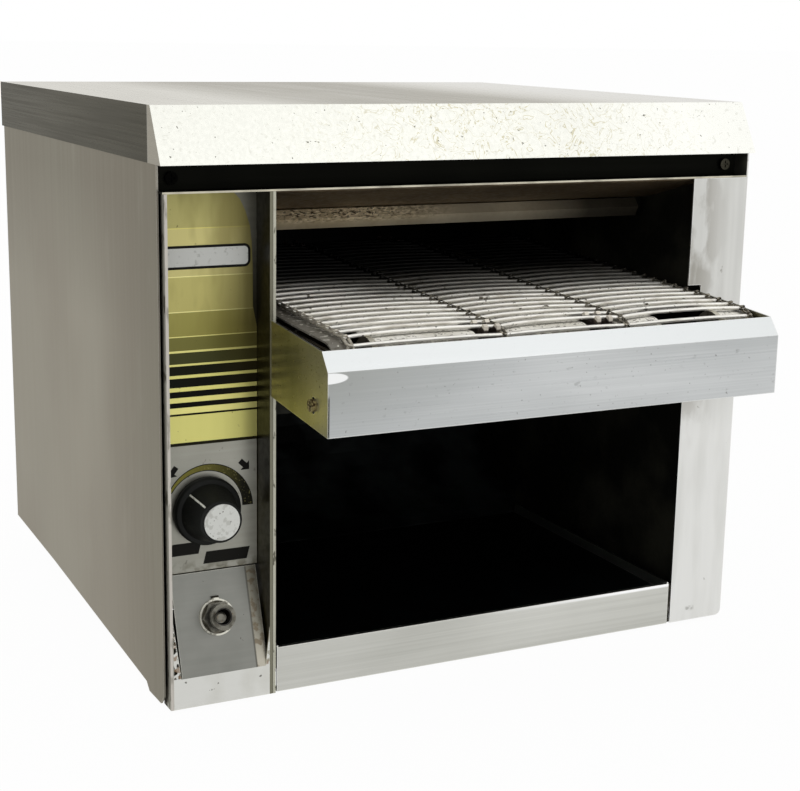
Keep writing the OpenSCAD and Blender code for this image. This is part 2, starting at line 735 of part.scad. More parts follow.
// Oven's back, which curves out below as the chute that turns the toast to the receiving tray.
module return_chute() {
    foot_y = tray_d + 4;
    lean = 22;
    r = (fan_y1 - fan_depth - 2 - lean - foot_y) / sin(75);
    foot = floor_z + 2 * sheet + seam;
    line = concat([[foot_y - 2, foot]],
        [for (a = [0:7.5:75]) [foot_y + r * sin(a), foot + r * (1 - cos(a))]],
        [[foot_y + r * sin(75) + lean, foot + r * (1 - cos(75)) + 82],
        [foot_y + r * sin(75) + lean, rail_z - 6]]);
    color([0.34, 0.34, 0.32]) in_place() along_x(oven_x0 + seam, oven_x1 - seam)
        polygon(folded(line, -sheet));
}

// Pan under the lower opening: lip, floor and low side walls. It slides out.
module receiving_tray() {
    x0 = oven_x0 + tray_play;
    x1 = post_x - tray_play - 1.4;
    low = floor_z + sheet + 0.3;
    color([0.70, 0.70, 0.68]) in_place() {
        along_x(x0, x1) polygon(folded([[6, bottom_z + 0.6], [0, bottom_z + 0.6],
            [0, bottom_z + tray_lip_h], [3, bottom_z + tray_lip_h]], -sheet));
        block([x0, sheet / 2, low], [x1, tray_d, low + sheet]);
        for (x = [x0, x1 - sheet])
            block([x, sheet / 2, low], [x + sheet, tray_d, low + tray_side_h]);
    }
}

// Element rods with their cold ends and terminal pins, over the belt.
module heater_rod() {
    x0 = divider_x0 - 14;
    x1 = oven_x1 + sheet + 12;
    rod_x([x0, 0, 0], heater_d / 2, x1 - x0);
    rod_x([x0 - 8, 0, 0], 1.5, 9);
    rod_x([x1 - 1, 0, 0], 1.5, 8);
}
module upper_heaters() {
    color([0.30, 0.29, 0.28]) in_place() for (y = heater_ys)
        translate([0, y, heater_z]) heater_rod();
}

// Elements inside the belt's loop.
module lower_heaters() {
    color([0.30, 0.29, 0.28]) in_place() in_belt() for (u = lower_us)
        translate([0, u, 0]) heater_rod();
}

// Ceramic collars that hold the elements in both walls.
module insulator(x, t, s) {
    difference() {
        union() {
            rod_x([x, 0, 0], heater_hole_r - 0.1, t);
            rod_x([s > 0 ? x + t : x - 3, 0, 0], heater_hole_r + 1.6, 3);
        }
        rod_x([x - 6, 0, 0], heater_d / 2 + 0.1, t + 12);
    }
}
module heater_insulators() {
    color([0.88, 0.86, 0.80]) in_place() {
        for (y = heater_ys) translate([0, y, heater_z]) {
            insulator(divider_x0, wall_t, -1);
            insulator(oven_x1, sheet, 1);
        }
        in_belt() for (u = lower_us) translate([0, u, 0]) {
            insulator(divider_x0, wall_t, -1);
            insulator(oven_x1, sheet, 1);
        }
    }
}

// Disc thermostat on the divider's control side.
module limit_thermostat() {
    z = rail_z - 41.5;
    color([0.75, 0.73, 0.68]) in_place() {
        rod_x([divider_x0 - 2 - seam, 240, z], 11, 2);
        rod_x([divider_x0 - 10 - seam, 240, z], 8, 8.5);
        for (s = [-4, 4])
            block([divider_x0 - 18 - seam, 237, z + s - 0.4],
                [divider_x0 - 9 - seam, 243, z + s + 0.4]);
    }
}

// ---------------------------------------------------------------- feed shelf

// Levels of the shelf's cheek, from the front plane to its front face
shelf_fall = 4.4;
shelf_x0 = control_x1 + 0.5;
shelf_x1 = oven_x1 - shelf_inset;
shelf_back_top = bottom_z + shelf_top_z;
shelf_back_low = shelf_back_top - shelf_h;
shelf_front_top = shelf_back_top - shelf_fall;
shelf_front_low = shelf_front_top - shelf_h - 1.6;
shelf_face_top = shelf_front_top - shelf_bevel_h;
shelf_slot = [-shelf_reach + 17.5, shelf_front_low + 13.2];

// Shelf round the belt's front: cheeks, sloped floor, front face and bevel.
module feed_shelf() {
    r = -0.3;
    color([0.74, 0.75, 0.75]) in_place() difference() {
        union() {
            along_x(shelf_x0, shelf_x1) polygon(folded([[r, shelf_back_low],
                [-shelf_reach, shelf_front_low], [-shelf_reach, shelf_face_top],
                [-shelf_reach + shelf_bevel_d, shelf_front_top],
                [-shelf_reach + shelf_bevel_d + 2, shelf_front_top - 1.5]], -sheet));
            for (x = [shelf_x0, shelf_x1 - sheet]) along_x(x, x + sheet)
                polygon([[r, shelf_back_top], [r, shelf_back_low], [-shelf_reach, shelf_front_low],
                    [-shelf_reach, shelf_face_top], [-shelf_reach + shelf_bevel_d, shelf_front_top]]);
            block([oven_x0 + 2, r - 1, shelf_back_low], [post_x - 2, 22, shelf_back_low + sheet]);
        }
        for (x = [shelf_x0, shelf_x1]) {
            rod_x([x - 3, shelf_slot[0], shelf_slot[1] - 2.6], 1.8, 6);
            rod_x([x - 3, shelf_slot[0], shelf_slot[1] + 2.6], 1.8, 6);
            block([x - 3, shelf_slot[0] - 1.8, shelf_slot[1] - 2.6],
                [x + 3, shelf_slot[0] + 1.8, shelf_slot[1] + 2.6]);
        }
        for (x = shelf_screw_xs) rod_z([x, 13, shelf_back_low - 2], screw_hole_r, 6);
    }
}
shelf_screw_xs = [oven_x0 + 34, post_x - 34];

// Angle between the oven walls that carries the shelf's tongue.
module shelf_crossmember() {
    high = shelf_back_low - seam;
    color([0.45, 0.45, 0.43]) in_place() difference() {
        union() {
            block([oven_x0 + seam, 4, high - sheet], [oven_x1 - seam, 24, high]);
            block([oven_x0 + seam, 23, high - 16], [oven_x1 - seam, 24, high]);
        }
        for (x = shelf_screw_xs) rod_z([x, 13, high - 4], screw_hole_r, 6);
    }
}

// Screws in the cheeks' slots and through the shelf's tongue.
module shelf_screws() {
    color([0.55, 0.54, 0.50]) in_place() {
        translate([shelf_x0, shelf_slot[0], shelf_slot[1]]) rotate([0, -90, 0]) screw(5);
        translate([shelf_x1, shelf_slot[0], shelf_slot[1]]) rotate([0, 90, 0]) screw(5);
        for (x = shelf_screw_xs) translate([x, 13, shelf_back_low + sheet]) screw(6);
    }
}

// ---------------------------------------------------------------- conveyor

// Flat rails on both sides of the belt, bored for shafts and elements.
module conveyor_rails() {
    color([0.40, 0.39, 0.35]) in_place() in_belt() for (x = rail_xs) difference() {
        block([x, -12, -rail_half_h], [x + rail_t, belt_len + 14, rail_half_h]);
        for (u = [0, belt_len]) rod_x([x - 1, u, 0], shaft_r + 2.6, rail_t + 2);
        for (u = lower_us) rod_x([x - 1, u, 0], heater_hole_r + 0.6, rail_t + 2);
        for (u = spacer_us) rod_x([x - 1, u, 0], screw_hole_r, rail_t + 2);
    }
}

spacer_us = [66, 226];

// Holes for the spacers' screws in a wall.
module spacer_holes(x, t) {
    in_belt() for (u = spacer_us) rod_x([x - 1, u, 0], screw_hole_r, t + 2);
}

// Stand-offs between the rails and the oven walls, drilled through.
module rail_spacers() {
    color([0.66, 0.65, 0.62]) in_place() in_belt() for (u = spacer_us) {
        difference() {
            rod_x([oven_x0 + 0.05, u, 0], 4.5, rail_xs[0] - oven_x0 - seam);
            rod_x([oven_x0 - 1, u, 0], screw_hole_r, 30);
        }
        difference() {
            rod_x([rail_xs[1] + rail_t + 0.05, u, 0], 4.5, oven_x1 - rail_xs[1] - rail_t - seam);
            rod_x([rail_xs[1], u, 0], screw_hole_r, 30);
        }
    }
}

// Cross strips between the rails, and on them the rods that carry the belt's upper run.
module belt_supports() {
    x0 = rail_xs[0] + rail_t + seam;
    x1 = rail_xs[1] - seam;
    rod_r = 1.5;
    rod_w = belt_r - wire_r - 0.3 - rod_r;
    color([0.52, 0.50, 0.46]) in_place() in_belt() {
        for (u = [38, guard_len - 10, guard_len + 36, guard_len + 82, belt_len - 27])
            block([x0, u - 1, -rail_half_h + 0.5], [x1, u + 1, rod_w - rod_r - 0.05]);
        for (x = [belt_x - 100, belt_x - 62, belt_x - 6, belt_x + 66, belt_x + 104])
            rod_y([x, guard_len + 2, rod_w], rod_r, belt_len - guard_len - 24);
    }
}

disc_t = 3.2;
disc_xs = [belt_x0 + 15, belt_x1 - 23];
guard_r = belt_r * cos(180 / belt_teeth) - wire_r - 0.1;
sprocket_r = belt_r + 3.2;
// Guard plate: curved behind the belt's front wires, flat under them, notched for the sprockets.
module idler_guard() {
    x0 = rail_xs[0] + rail_t + seam;
    x1 = rail_xs[1] - seam;
    notches = [[disc_xs[0] - 3.4, 14], [sprocket_xs[0], 16.5], [sprocket_xs[1], 18.5],
        [disc_xs[1] - 17.4, 42]];
    color([0.70, 0.69, 0.65]) in_place() in_belt() difference() {
        union() {
            difference() {
                rod_x([x0, 0, 0], guard_r, x1 - x0);
                rod_x([x0 - 1, 0, 0], guard_r - 1, x1 - x0 + 2);
                block([x0 - 1, 0, -guard_r - 1], [x1 + 1, guard_r + 1, guard_r + 1]);
                block([x0 - 1, -guard_r - 1, -guard_r - 1], [x1 + 1, guard_r + 1, -3]);
            }
            block([x0, -0.5, guard_r - 1], [x1, guard_len, guard_r]);
        }
        for (n = notches)
            block([n[0] - n[1] / 2, -guard_r - 1, -4], [n[0] + n[1] / 2, 20, guard_r + 1]);
    }
}

// Outline of a toothed wheel with valleys under the wires at the first angle and every tooth on.
function wheel(teeth, valley, tip, first) = let (turn = 360 / teeth) [for (i = [0:teeth - 1])
    for (p = [[-0.2, valley], [0.2, valley], [0.41, tip], [0.59, tip]])
    let (a = first + (i + p[0]) * turn) p[1] * [cos(a), sin(a)]];

// One belt sprocket: two toothed plates on a hub, bored for the shaft.
module belt_sprocket(x) {
    valley = belt_r - wire_r - 0.5;
    difference() {
        union() {
            for (s = [-5, 2.5]) translate([x + s, 0, 0]) rotate([90, 0, 90])
                linear_extrude(2.5) polygon(wheel(belt_teeth, valley, sprocket_r, 90));
            rod_x([x - 6.5, 0, 0], shaft_r + 3.4, 13);
        }
        rod_x([x - 8, 0, 0], shaft_r + 0.02, 16);
    }
}

module idler_shaft() {
    color([0.62, 0.61, 0.58]) in_place() in_belt()
        rod_x([rail_xs[0] - 2.6, 0, 0], shaft_r, rail_xs[1] - rail_xs[0] + rail_t + 3.4);
}

module idler_sprockets() {
    color([0.28, 0.24, 0.22]) in_place() in_belt() for (x = sprocket_xs) belt_sprocket(x);
}

module drive_shaft() {
    color([0.62, 0.61, 0.58]) in_place() in_belt()
        rod_x([chain_x - 6, belt_len, 0], shaft_r, oven_x1 + sheet + 4 - chain_x + 6);
}

module drive_sprockets() {
    color([0.28, 0.24, 0.22]) in_place() in_belt() translate([0, belt_len, 0])
        for (x = sprocket_xs) belt_sprocket(x);
}

// Flanged bushings of both shafts in the rails, and of the drive shaft in the oven walls.
module bushing(x, t, out_r, s) {
    difference() {
        union() {
            rod_x([x, 0, 0], out_r - 0.1, t);
            rod_x([s > 0 ? x + t : x - 1.2, 0, 0], out_r + 1.4, 1.2);
        }
        rod_x([x - 6, 0, 0], shaft_r + run_fit, t + 12);
    }
}
module shaft_bushings() {
    color([0.55, 0.45, 0.30]) in_place() in_belt() {
        for (u = [0, belt_len]) translate([0, u, 0]) {
            bushing(rail_xs[0], rail_t, shaft_r + 2.6, -1);
            bushing(rail_xs[1], rail_t, shaft_r + 2.6, 1);
        }
        translate([0, belt_len, 0]) {
            bushing(divider_x0, wall_t, shaft_r + 3.6, -1);
            bushing(oven_x1, sheet, shaft_r + 3.6, 1);
        }
    }
}

// Set collars beside the rails and guide discs under the belt's edges, on the front shaft.
module shaft_collars() {
    color([0.50, 0.49, 0.46]) in_place() in_belt() {
        for (x = [rail_xs[0] + rail_t + 0.5, rail_xs[1] - 3.5]) difference() {
            rod_x([x, 0, 0], shaft_r + 3, 3);
            rod_x([x - 1, 0, 0], shaft_r + 0.02, 5);
        }
        for (x = disc_xs) difference() {
            rod_x([x, 0, 0], belt_r - wire_r - 0.3, disc_t);
            rod_x([x - 1, 0, 0], shaft_r + 0.02, disc_t + 2);
        }
    }
}

// Wire belt: strands across the loop, linked at both edges and beside the sprockets.
module conveyor_belt() {
    points = loop_points(belt_pitch, belt_teeth, belt_run, belt_r);
    n = len(points);
    x0 = belt_x0;
    link_r = wire_r * 0.7;
    link_xs = [x0 + 1.5, joint_xs[0], joint_xs[1], x0 + belt_w - 1.5];
    color([0.74, 0.73, 0.69]) in_place() in_belt() {
        for (p = points) rod_x([x0, p[0], p[1]], wire_r, belt_w);
        for (i = [0:n - 1]) let (a = points[i], b = points[(i + 1) % n])
            let (d = [b[0] - a[0], b[1] - a[1]], turn = atan2(d[1], d[0]))
            for (x = link_xs) translate([x, a[0], a[1]]) rotate([turn, 0, 0])
                block([-link_r, 0, -link_r], [link_r, norm(d), link_r]);
    }
}

// ---------------------------------------------------------------- drive

// One chain sprocket with its hub, on the chain's plane.
module chain_wheel(bore_r, hub_l) {
    difference() {
        union() {
            translate([chain_x - 1.2, 0, 0]) rotate([90, 0, 90]) linear_extrude(2.4)
                polygon(wheel(chain_teeth, chain_r - 2.1, chain_r + 1.6, 90 + chain_fall));
            rod_x([chain_x, 0, 0], shaft_r + 4, hub_l);
        }
        rod_x([chain_x - 5, 0, 0], bore_r, 20);
    }
}

module chain_sprocket() {
    color([0.50, 0.48, 0.44]) in_place() translate([0, drive_y, drive_z])
        chain_wheel(shaft_r + 0.02, 9);
}

motor_shaft_r = 3.5;
// Motor side sprocket with the gearbox's output shaft.
module motor_sprocket() {
    color([0.50, 0.48, 0.44]) in_place() translate([0, motor_y, motor_z]) {
        chain_wheel(motor_shaft_r - 0.1, 6);
        rod_x([chain_x - 2, 0, 0], motor_shaft_r, motor_face_x - 8 - chain_x + 2);
    }
}

// Roller chain: rollers between two rows of side plates.
module drive_chain() {
    points = loop_points(chain_pitch, chain_teeth, chain_run, chain_r);
    n = len(points);
    color([0.40, 0.38, 0.34]) in_place() translate([0, drive_y, drive_z])
        rotate([180 + chain_fall, 0, 0]) {
            for (p = points) rod_x([chain_x - 2.6, p[0], p[1]], 1.6, 5.2);
            for (i = [0:n - 1]) let (a = points[i], b = points[(i + 1) % n])
                let (d = [b[0] - a[0], b[1] - a[1]], turn = atan2(d[1], d[0]))
                translate([0, a[0], a[1]]) rotate([turn, 0, 0]) {
                    block([chain_x - 2.3, 0, -1.9], [chain_x - 1.6, norm(d), 1.9]);
                    block([chain_x + 1.6, 0, -1.9], [chain_x + 2.3, norm(d), 1.9]);
                }
        }
}

// Gearbox on the divider, bored for its output shaft.
module gearbox() {
    color([0.55, 0.55, 0.53]) in_place() difference() {
        union() {
            block([motor_face_x - 15, motor_y - 24, motor_z - 34],
                [motor_face_x - 1, motor_y + 22, motor_z + 20]);
            rod_x([motor_face_x - 18, motor_y, motor_z], 8, 5);
            for (y = motor_screw_ys, z = motor_screw_zs)
                rod_x([motor_face_x - 1.5, y, z], 4, divider_x0 - motor_face_x + 1.5 - seam);
        }
        rod_x([motor_face_x - 30, motor_y, motor_z], motor_shaft_r + run_fit, 24);
        for (y = motor_screw_ys, z = motor_screw_zs)
            rod_x([motor_face_x - 30, y, z], screw_hole_r, 60);
    }
}
motor_screw_ys = [motor_y - 18, motor_y + 16];
motor_screw_zs = [motor_z - 28, motor_z + 14];

// Shaded-pole motor on the gearbox: laminated frame, coil and rear bearing cap.
module drive_motor() {
    x1 = motor_face_x - 15 - 0.05;
    y = motor_y - 2;
    z = motor_z - 37;
    color([0.34, 0.33, 0.32]) in_place() {
        block([x1 - 20, y - 24, z - 14], [x1, y + 24, z + 12]);
        rod_x([x1 - 26, y, z], 11, 7);
        block([x1 - 24, y - 14, z - 28], [x1 + 2, y + 14, z - 13]);
    }
}

// Screws that fasten the gearbox to the divider.
module motor_screws() {
    color([0.70, 0.69, 0.66]) in_place() for (y = motor_screw_ys, z = motor_screw_zs)
        if (z > motor_z) translate([motor_face_x - 15, y, z]) rotate([0, -90, 0]) screw(13);
        else translate([motor_face_x - 15, y, z]) rotate([0, -90, 0]) translate([0, 0, -13])
            cylinder(r = screw_r, h = 12.9);
}

// ---------------------------------------------------------------- fan and mains

fan_hole_at = fan_size / 2 - 4.4;

// Square fan frame with its spokes and motor seat.
module fan_frame() {
    half = fan_size / 2;
    y0 = fan_y1 - fan_depth;
    color([0.09, 0.09, 0.09]) in_place() difference() {
        union() {
            difference() {
                block([fan_x - half, y0, fan_z - half], [fan_x + half, fan_y1, fan_z + half]);
                rod_y([fan_x, y0 - 1, fan_z], half - 3, fan_depth + 2);
            }
            for (a = [45:90:315]) translate([fan_x, y0, fan_z]) rotate([0, a, 0])
                translate([0, 0, -1.5]) cube([half - 1, 3, 3]);
            rod_y([fan_x, y0, fan_z], 15, 5);
        }
        rod_y([fan_x, y0 - 1, fan_z], 2 + run_fit, fan_depth);
        for (sx = [-1, 1], sz = [-1, 1])
            rod_y([fan_x + sx * fan_hole_at, y0 - 1, fan_z + sz * fan_hole_at],
                screw_hole_r, fan_depth + 2);
    }
}

// Impeller: hub, seven blades and the axle in the seat's bore.
module fan_rotor() {
    y0 = fan_y1 - fan_depth;
    color([0.12, 0.12, 0.12]) in_place() translate([fan_x, 0, fan_z]) {
        rod_y([0, y0 + 6, 0], 15, fan_depth - 9);
        rod_y([0, y0 + 0.5, 0], 2, 8);
        for (i = [0:6]) rotate([0, i * 360 / 7, 0]) translate([12, y0 + 7, 0])
            rotate([38, 0, 0]) translate([0, 0, -1]) cube([fan_size / 2 - 17, 15, 1.6]);
    }
}

// Wire finger guard outside the rear panel, with its four screws.
module fan_guard() {
    y = back_y + 0.05;
    color([0.72, 0.71, 0.69]) in_place() {
        for (r = [12:9:fan_size / 2 - 3]) translate([fan_x, y + 1, fan_z]) rotate([-90, 0, 0])
            difference() {
                cylinder(r = r + 0.9, h = 1.8);
                translate([0, 0, -1]) cylinder(r = r - 0.9, h = 4);
            }
        for (a = [45:90:315]) translate([fan_x, y, fan_z]) rotate([0, a, 0]) difference() {
            translate([6, 0, -0.9]) cube([fan_hole_at * sqrt(2) - 3, 1.8, 1.8]);
            translate([fan_hole_at * sqrt(2), -1, 0]) rotate([-90, 0, 0])
                cylinder(r = screw_hole_r, h = 4);
        }
        for (sx = [-1, 1], sz = [-1, 1])
            translate([fan_x + sx * fan_hole_at, y + 1.85, fan_z + sz * fan_hole_at])
                rotate([-90, 0, 0]) screw(fan_depth);
    }
}

// Mains terminal block on the base floor.
module terminal_block() {
    x = control_x0 + 14;
    y = back_y - 125;
    z = floor_z + sheet + 0.05;
    color([0.85, 0.84, 0.80]) in_place() difference() {
        union() {
            block([x, y, z], [x + 24, y + 40, z + 9]);
            for (i = [0:4]) block([x + 7, y + i * 9.2, z], [x + 17, y + i * 9.2 + 3.2, z + 16]);
        }
        for (i = [0:3]) for (s = [4, 20])
            rod_z([x + s, y + 6.2 + i * 9.2, z + 4], 1.6, 10);
    }
}

gland_r = 8;
gland_x = (control_x0 + control_x1) / 2;
gland_z = floor_z + 26;

// Cord gland in the rear panel, bored for the mains cord.
module cord_gland() {
    color([0.08, 0.08, 0.08]) in_place() difference() {
        union() {
            rod_y([gland_x, back_y - sheet - 10, gland_z], gland_r, sheet + 12);
            rod_y([gland_x, back_y + 0.05, gland_z], gland_r + 3.5, 4);
            rod_y([gland_x, back_y, gland_z], gland_r + 0.8, gland_out + sheet + seam);
            translate([gland_x, back_y - sheet - 0.1, gland_z]) rotate([90, 0, 0])
                cylinder(r = gland_r + 4, h = 5, $fn = 6);
        }
        rod_y([gland_x, back_y - 30, gland_z], 4.2, 60);
    }
}

top_cover();
left_side_panel();
right_side_panel();
rear_panel();
base_pan();
feet();
front_rail();
control_wall_left();
control_wall_right();
control_faceplate();
upper_label();
lower_label();
switch_bracket();
divider_wall();
oven_right_wall();
front_baffle();
baffle_bar();
top_reflector();
return_chute();
receiving_tray();
feed_shelf();
shelf_crossmember();
conveyor_rails();
rail_spacers();
belt_supports();
idler_guard();
idler_shaft();
idler_sprockets();
drive_shaft();
drive_sprockets();
shaft_bushings();
shaft_collars();
conveyor_belt();
chain_sprocket();
motor_sprocket();
drive_chain();
gearbox();
drive_motor();
upper_heaters();
lower_heaters();
heater_insulators();
speed_control();
speed_shaft();
speed_knob();
knob_cap();
knob_pointer();
control_board();
power_switch();
switch_washer();
switch_nut();
switch_lever();
fan_frame();
fan_rotor();
fan_guard();
terminal_block();
limit_thermostat();
cord_gland();
housing_screws();
shelf_screws();
motor_screws();
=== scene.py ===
import json
import math
from statistics import NormalDist

import bpy
import numpy as np
from mathutils import Matrix, Vector


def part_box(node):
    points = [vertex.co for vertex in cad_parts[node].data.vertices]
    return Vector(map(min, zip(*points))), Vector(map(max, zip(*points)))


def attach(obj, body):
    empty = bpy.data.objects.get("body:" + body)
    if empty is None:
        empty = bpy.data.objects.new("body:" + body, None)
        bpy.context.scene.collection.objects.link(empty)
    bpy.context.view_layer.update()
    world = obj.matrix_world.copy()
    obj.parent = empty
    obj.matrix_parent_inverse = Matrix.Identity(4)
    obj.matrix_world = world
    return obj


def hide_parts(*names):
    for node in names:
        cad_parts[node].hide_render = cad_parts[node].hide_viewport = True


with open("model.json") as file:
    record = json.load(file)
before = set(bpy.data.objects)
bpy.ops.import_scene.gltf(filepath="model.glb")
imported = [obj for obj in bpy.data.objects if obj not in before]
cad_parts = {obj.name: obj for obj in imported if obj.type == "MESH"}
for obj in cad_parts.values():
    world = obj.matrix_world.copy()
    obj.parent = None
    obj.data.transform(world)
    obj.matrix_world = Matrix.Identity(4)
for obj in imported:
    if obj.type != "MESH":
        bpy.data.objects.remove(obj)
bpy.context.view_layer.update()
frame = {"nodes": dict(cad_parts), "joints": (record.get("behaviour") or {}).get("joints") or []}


# ---------------------------------------------------------------- stage, light and camera
# The toaster stands on a plain white table top under large soft lamps. The table shows the
# camera and the steel a white field but keeps the shadow under the housing.

def hex_colour(code):
    """Linear RGBA of an sRGB hex colour."""
    share = np.array([int(code[i:i + 2], 16) for i in (1, 3, 5)]) / 255
    linear = np.where(share <= 0.04045, share / 12.92, ((share + 0.055) / 1.055) ** 2.4)
    return (*linear.tolist(), 1.0)


def add(tree, kind, inputs=None, **settings):
    """Adds a node; inputs holds sockets to link or plain values, settings its own properties."""
    node = tree.nodes.new(kind)
    for name, value in settings.items():
        setattr(node, name, value)
    for name, value in (inputs or {}).items():
        if isinstance(value, bpy.types.NodeSocket):
            tree.links.new(value, node.inputs[name])
        else:
            node.inputs[name].default_value = value
    return node


def maths(tree, operation, *values):
    """Result of an operation on sockets or numbers."""
    return add(tree, "ShaderNodeMath", dict(enumerate(values)), operation=operation).outputs[0]


def vectors(tree, operation, *values):
    """Result of an operation on vectors; a dot product or a length gives a number."""
    node = add(tree, "ShaderNodeVectorMath", dict(enumerate(values)), operation=operation)
    return node.outputs["Value" if operation in ("DOT_PRODUCT", "LENGTH") else "Vector"]


scene = bpy.context.scene
scene.view_settings.view_transform = "Standard"

# The camera stands where the housing's edges in the photograph put it.
camera = bpy.data.objects.new("camera", bpy.data.cameras.new("camera"))
camera.data.lens = 73.19
camera.data.sensor_width = 36
camera.data.clip_start = 0.05
camera.matrix_world = (Matrix.Translation((-0.44041, -0.91426, 0.36168))
                       @ Matrix.Rotation(math.radians(-26.765), 4, "Z")
                       @ Matrix.Rotation(math.radians(90 - 12.735), 4, "X")
                       @ Matrix.Rotation(math.radians(1.039), 4, "Z"))
scene.collection.objects.link(camera)
scene.camera = camera


def soft_lamp(name, place, target, size, power):
    """A square area lamp that looks from its place to the target."""
    lamp = bpy.data.objects.new(name, bpy.data.lights.new(name, "AREA"))
    lamp.data.size = size
    lamp.data.energy = power
    aim = (Vector(target) - Vector(place)).to_track_quat("-Z", "Y").to_matrix().to_4x4()
    lamp.matrix_world = Matrix.Translation(place) @ aim
    scene.collection.objects.link(lamp)


soft_lamp("lamp_front_right", (0.9, -1.9, 1.7), (0, 0, 0.15), 1.6, 3)
soft_lamp("lamp_left", (-2.0, -0.7, 1.2), (0, 0, 0.15), 1.4, 2)


def shows_white(tree):
    """1 for rays of the camera and for rays reflected or refracted by gloss, else 0."""
    ray = add(tree, "ShaderNodeLightPath")
    either = maths(tree, "MAXIMUM", ray.outputs["Is Camera Ray"], ray.outputs["Is Glossy Ray"])
    return maths(tree, "MAXIMUM", either, ray.outputs["Is Transmission Ray"])


world = bpy.data.worlds.new("studio")
world.use_nodes = True
scene.world = world
sky = world.node_tree
sky.nodes.clear()
room = add(sky, "ShaderNodeBackground", {"Color": (1, 1, 1, 1), "Strength": 0.78})
white = add(sky, "ShaderNodeBackground", {"Color": (1, 1, 1, 1), "Strength": 1.0})
both = add(sky, "ShaderNodeMixShader", {0: shows_white(sky), 1: room.outputs[0],
                                        2: white.outputs[0]})
add(sky, "ShaderNodeOutputWorld", {"Surface": both.outputs[0]})

table = bpy.data.materials.new("white_table_top")
table.use_nodes = True
tree = table.node_tree
tree.nodes.clear()
paint = add(tree, "ShaderNodeBsdfDiffuse", {"Color": hex_colour("#f2f2f0")})
glow = add(tree, "ShaderNodeEmission", {"Color": (1, 1, 1, 1), "Strength": 1.0})
share = maths(tree, "MULTIPLY", shows_white(tree), 0.97)
seen = add(tree, "ShaderNodeMixShader", {0: share, 1: paint.outputs[0], 2: glow.outputs[0]})
add(tree, "ShaderNodeOutputMaterial", {"Surface": seen.outputs[0]})
floor_mesh = bpy.data.meshes.new("table_top")
half_side = 30
floor_mesh.from_pydata([(x * half_side, y * half_side, 0)
                        for x, y in ((-1, -1), (1, -1), (1, 1), (-1, 1))], [], [(0, 1, 2, 3)])
floor_mesh.materials.append(table)
floor = bpy.data.objects.new("table_top", floor_mesh)
scene.collection.objects.link(floor)


# ---------------------------------------------------------------- base pan and feet
# Folded base of dull mill-finish steel on four moulded rubber feet, each held by a screw
# through the foot. Underneath, the steel is greasy and dusty.

# The drawing's zero: left edge of the control box, which is 1.7 mm left of the switch plate,
# front plane and lower edge of the housing.
ZERO = (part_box("switch_bracket")[0].x - 0.0017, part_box("front_rail")[0].y,
        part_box("switch_bracket")[0].z)


def new_finish(name, colour, metallic=0.0, roughness=0.5, gloss=0.5):
    """A material with one Principled shader: returns the material, its tree and the shader.
    Black finishes take a lower gloss, because the white room would grey them."""
    material = bpy.data.materials.new(name)
    material.use_nodes = True
    tree = material.node_tree
    shader = tree.nodes["Principled BSDF"]
    shader.inputs["Base Color"].default_value = hex_colour(colour)
    shader.inputs["Metallic"].default_value = metallic
    shader.inputs["Roughness"].default_value = roughness
    shader.inputs["Specular IOR Level"].default_value = gloss
    return material, tree, shader


def texture(tree, per_metre, detail=3.0, shift=0.0, warp=0.0):
    """Fractal noise with the given cells per metre, one number or one each for X, Y and Z."""
    cells = (per_metre,) * 3 if np.isscalar(per_metre) else per_metre
    place = add(tree, "ShaderNodeTexCoord")
    scaled = add(tree, "ShaderNodeMapping", {"Vector": place.outputs["Object"],
                                             "Scale": cells, "Location": (shift,) * 3})
    return add(tree, "ShaderNodeTexNoise", {"Vector": scaled.outputs[0], "Scale": 1.0,
                                            "Detail": detail, "Distortion": warp}).outputs["Fac"]


def spread(tree, value, low, high, to_low=0.0, to_high=1.0):
    """Carries a value from low..high to to_low..to_high and holds it at the ends."""
    return add(tree, "ShaderNodeMapRange", {"Value": value, "From Min": low, "From Max": high,
                                            "To Min": to_low, "To Max": to_high}).outputs[0]


def patches(tree, per_metre, share, soft=0.03, detail=5.0, shift=0.0, warp=0.0):
    """Mask of ragged patches over a share of the surface: noise cut at the level that the
    share sets, taking the noise as normally spread with a deviation of 0.1."""
    level = 0.5 + 0.1 * NormalDist().inv_cdf(1 - share)
    return spread(tree, texture(tree, per_metre, detail, shift, warp), level - soft, level + soft)


def along(tree, axis, start, end):
    """0 to 1 along an axis between two drawing coordinates in millimetres."""
    place = add(tree, "ShaderNodeTexCoord")
    parts = add(tree, "ShaderNodeSeparateXYZ", {0: place.outputs["Object"]})
    zero = ZERO["XYZ".index(axis)]
    return spread(tree, parts.outputs[axis], zero + start / 1000, zero + end / 1000)


def facing(tree, direction, low=0.85, high=0.95):
    """Mask of the faces that look along a direction."""
    normal = add(tree, "ShaderNodeNewGeometry").outputs["Normal"]
    along_it = vectors(tree, "DOT_PRODUCT", normal, Vector(direction).normalized())
    return spread(tree, along_it, low, high)


def times(tree, *masks):
    """Product of masks and numbers."""
    product = masks[0]
    for mask in masks[1:]:
        product = maths(tree, "MULTIPLY", product, mask)
    return product


def less(tree, mask):
    """1 minus a mask."""
    return maths(tree, "SUBTRACT", 1.0, mask)


def coat(tree, shader, colour, *masks):
    """Lays a colour over the shader's base colour, as strongly as the product of the masks."""
    base = shader.inputs["Base Color"]
    under = base.links[0].from_socket if base.links else tuple(base.default_value)
    top = add(tree, "ShaderNodeMixRGB", {"Fac": times(tree, *masks), "Color1": under,
                                         "Color2": hex_colour(colour)})
    tree.links.new(top.outputs[0], base)


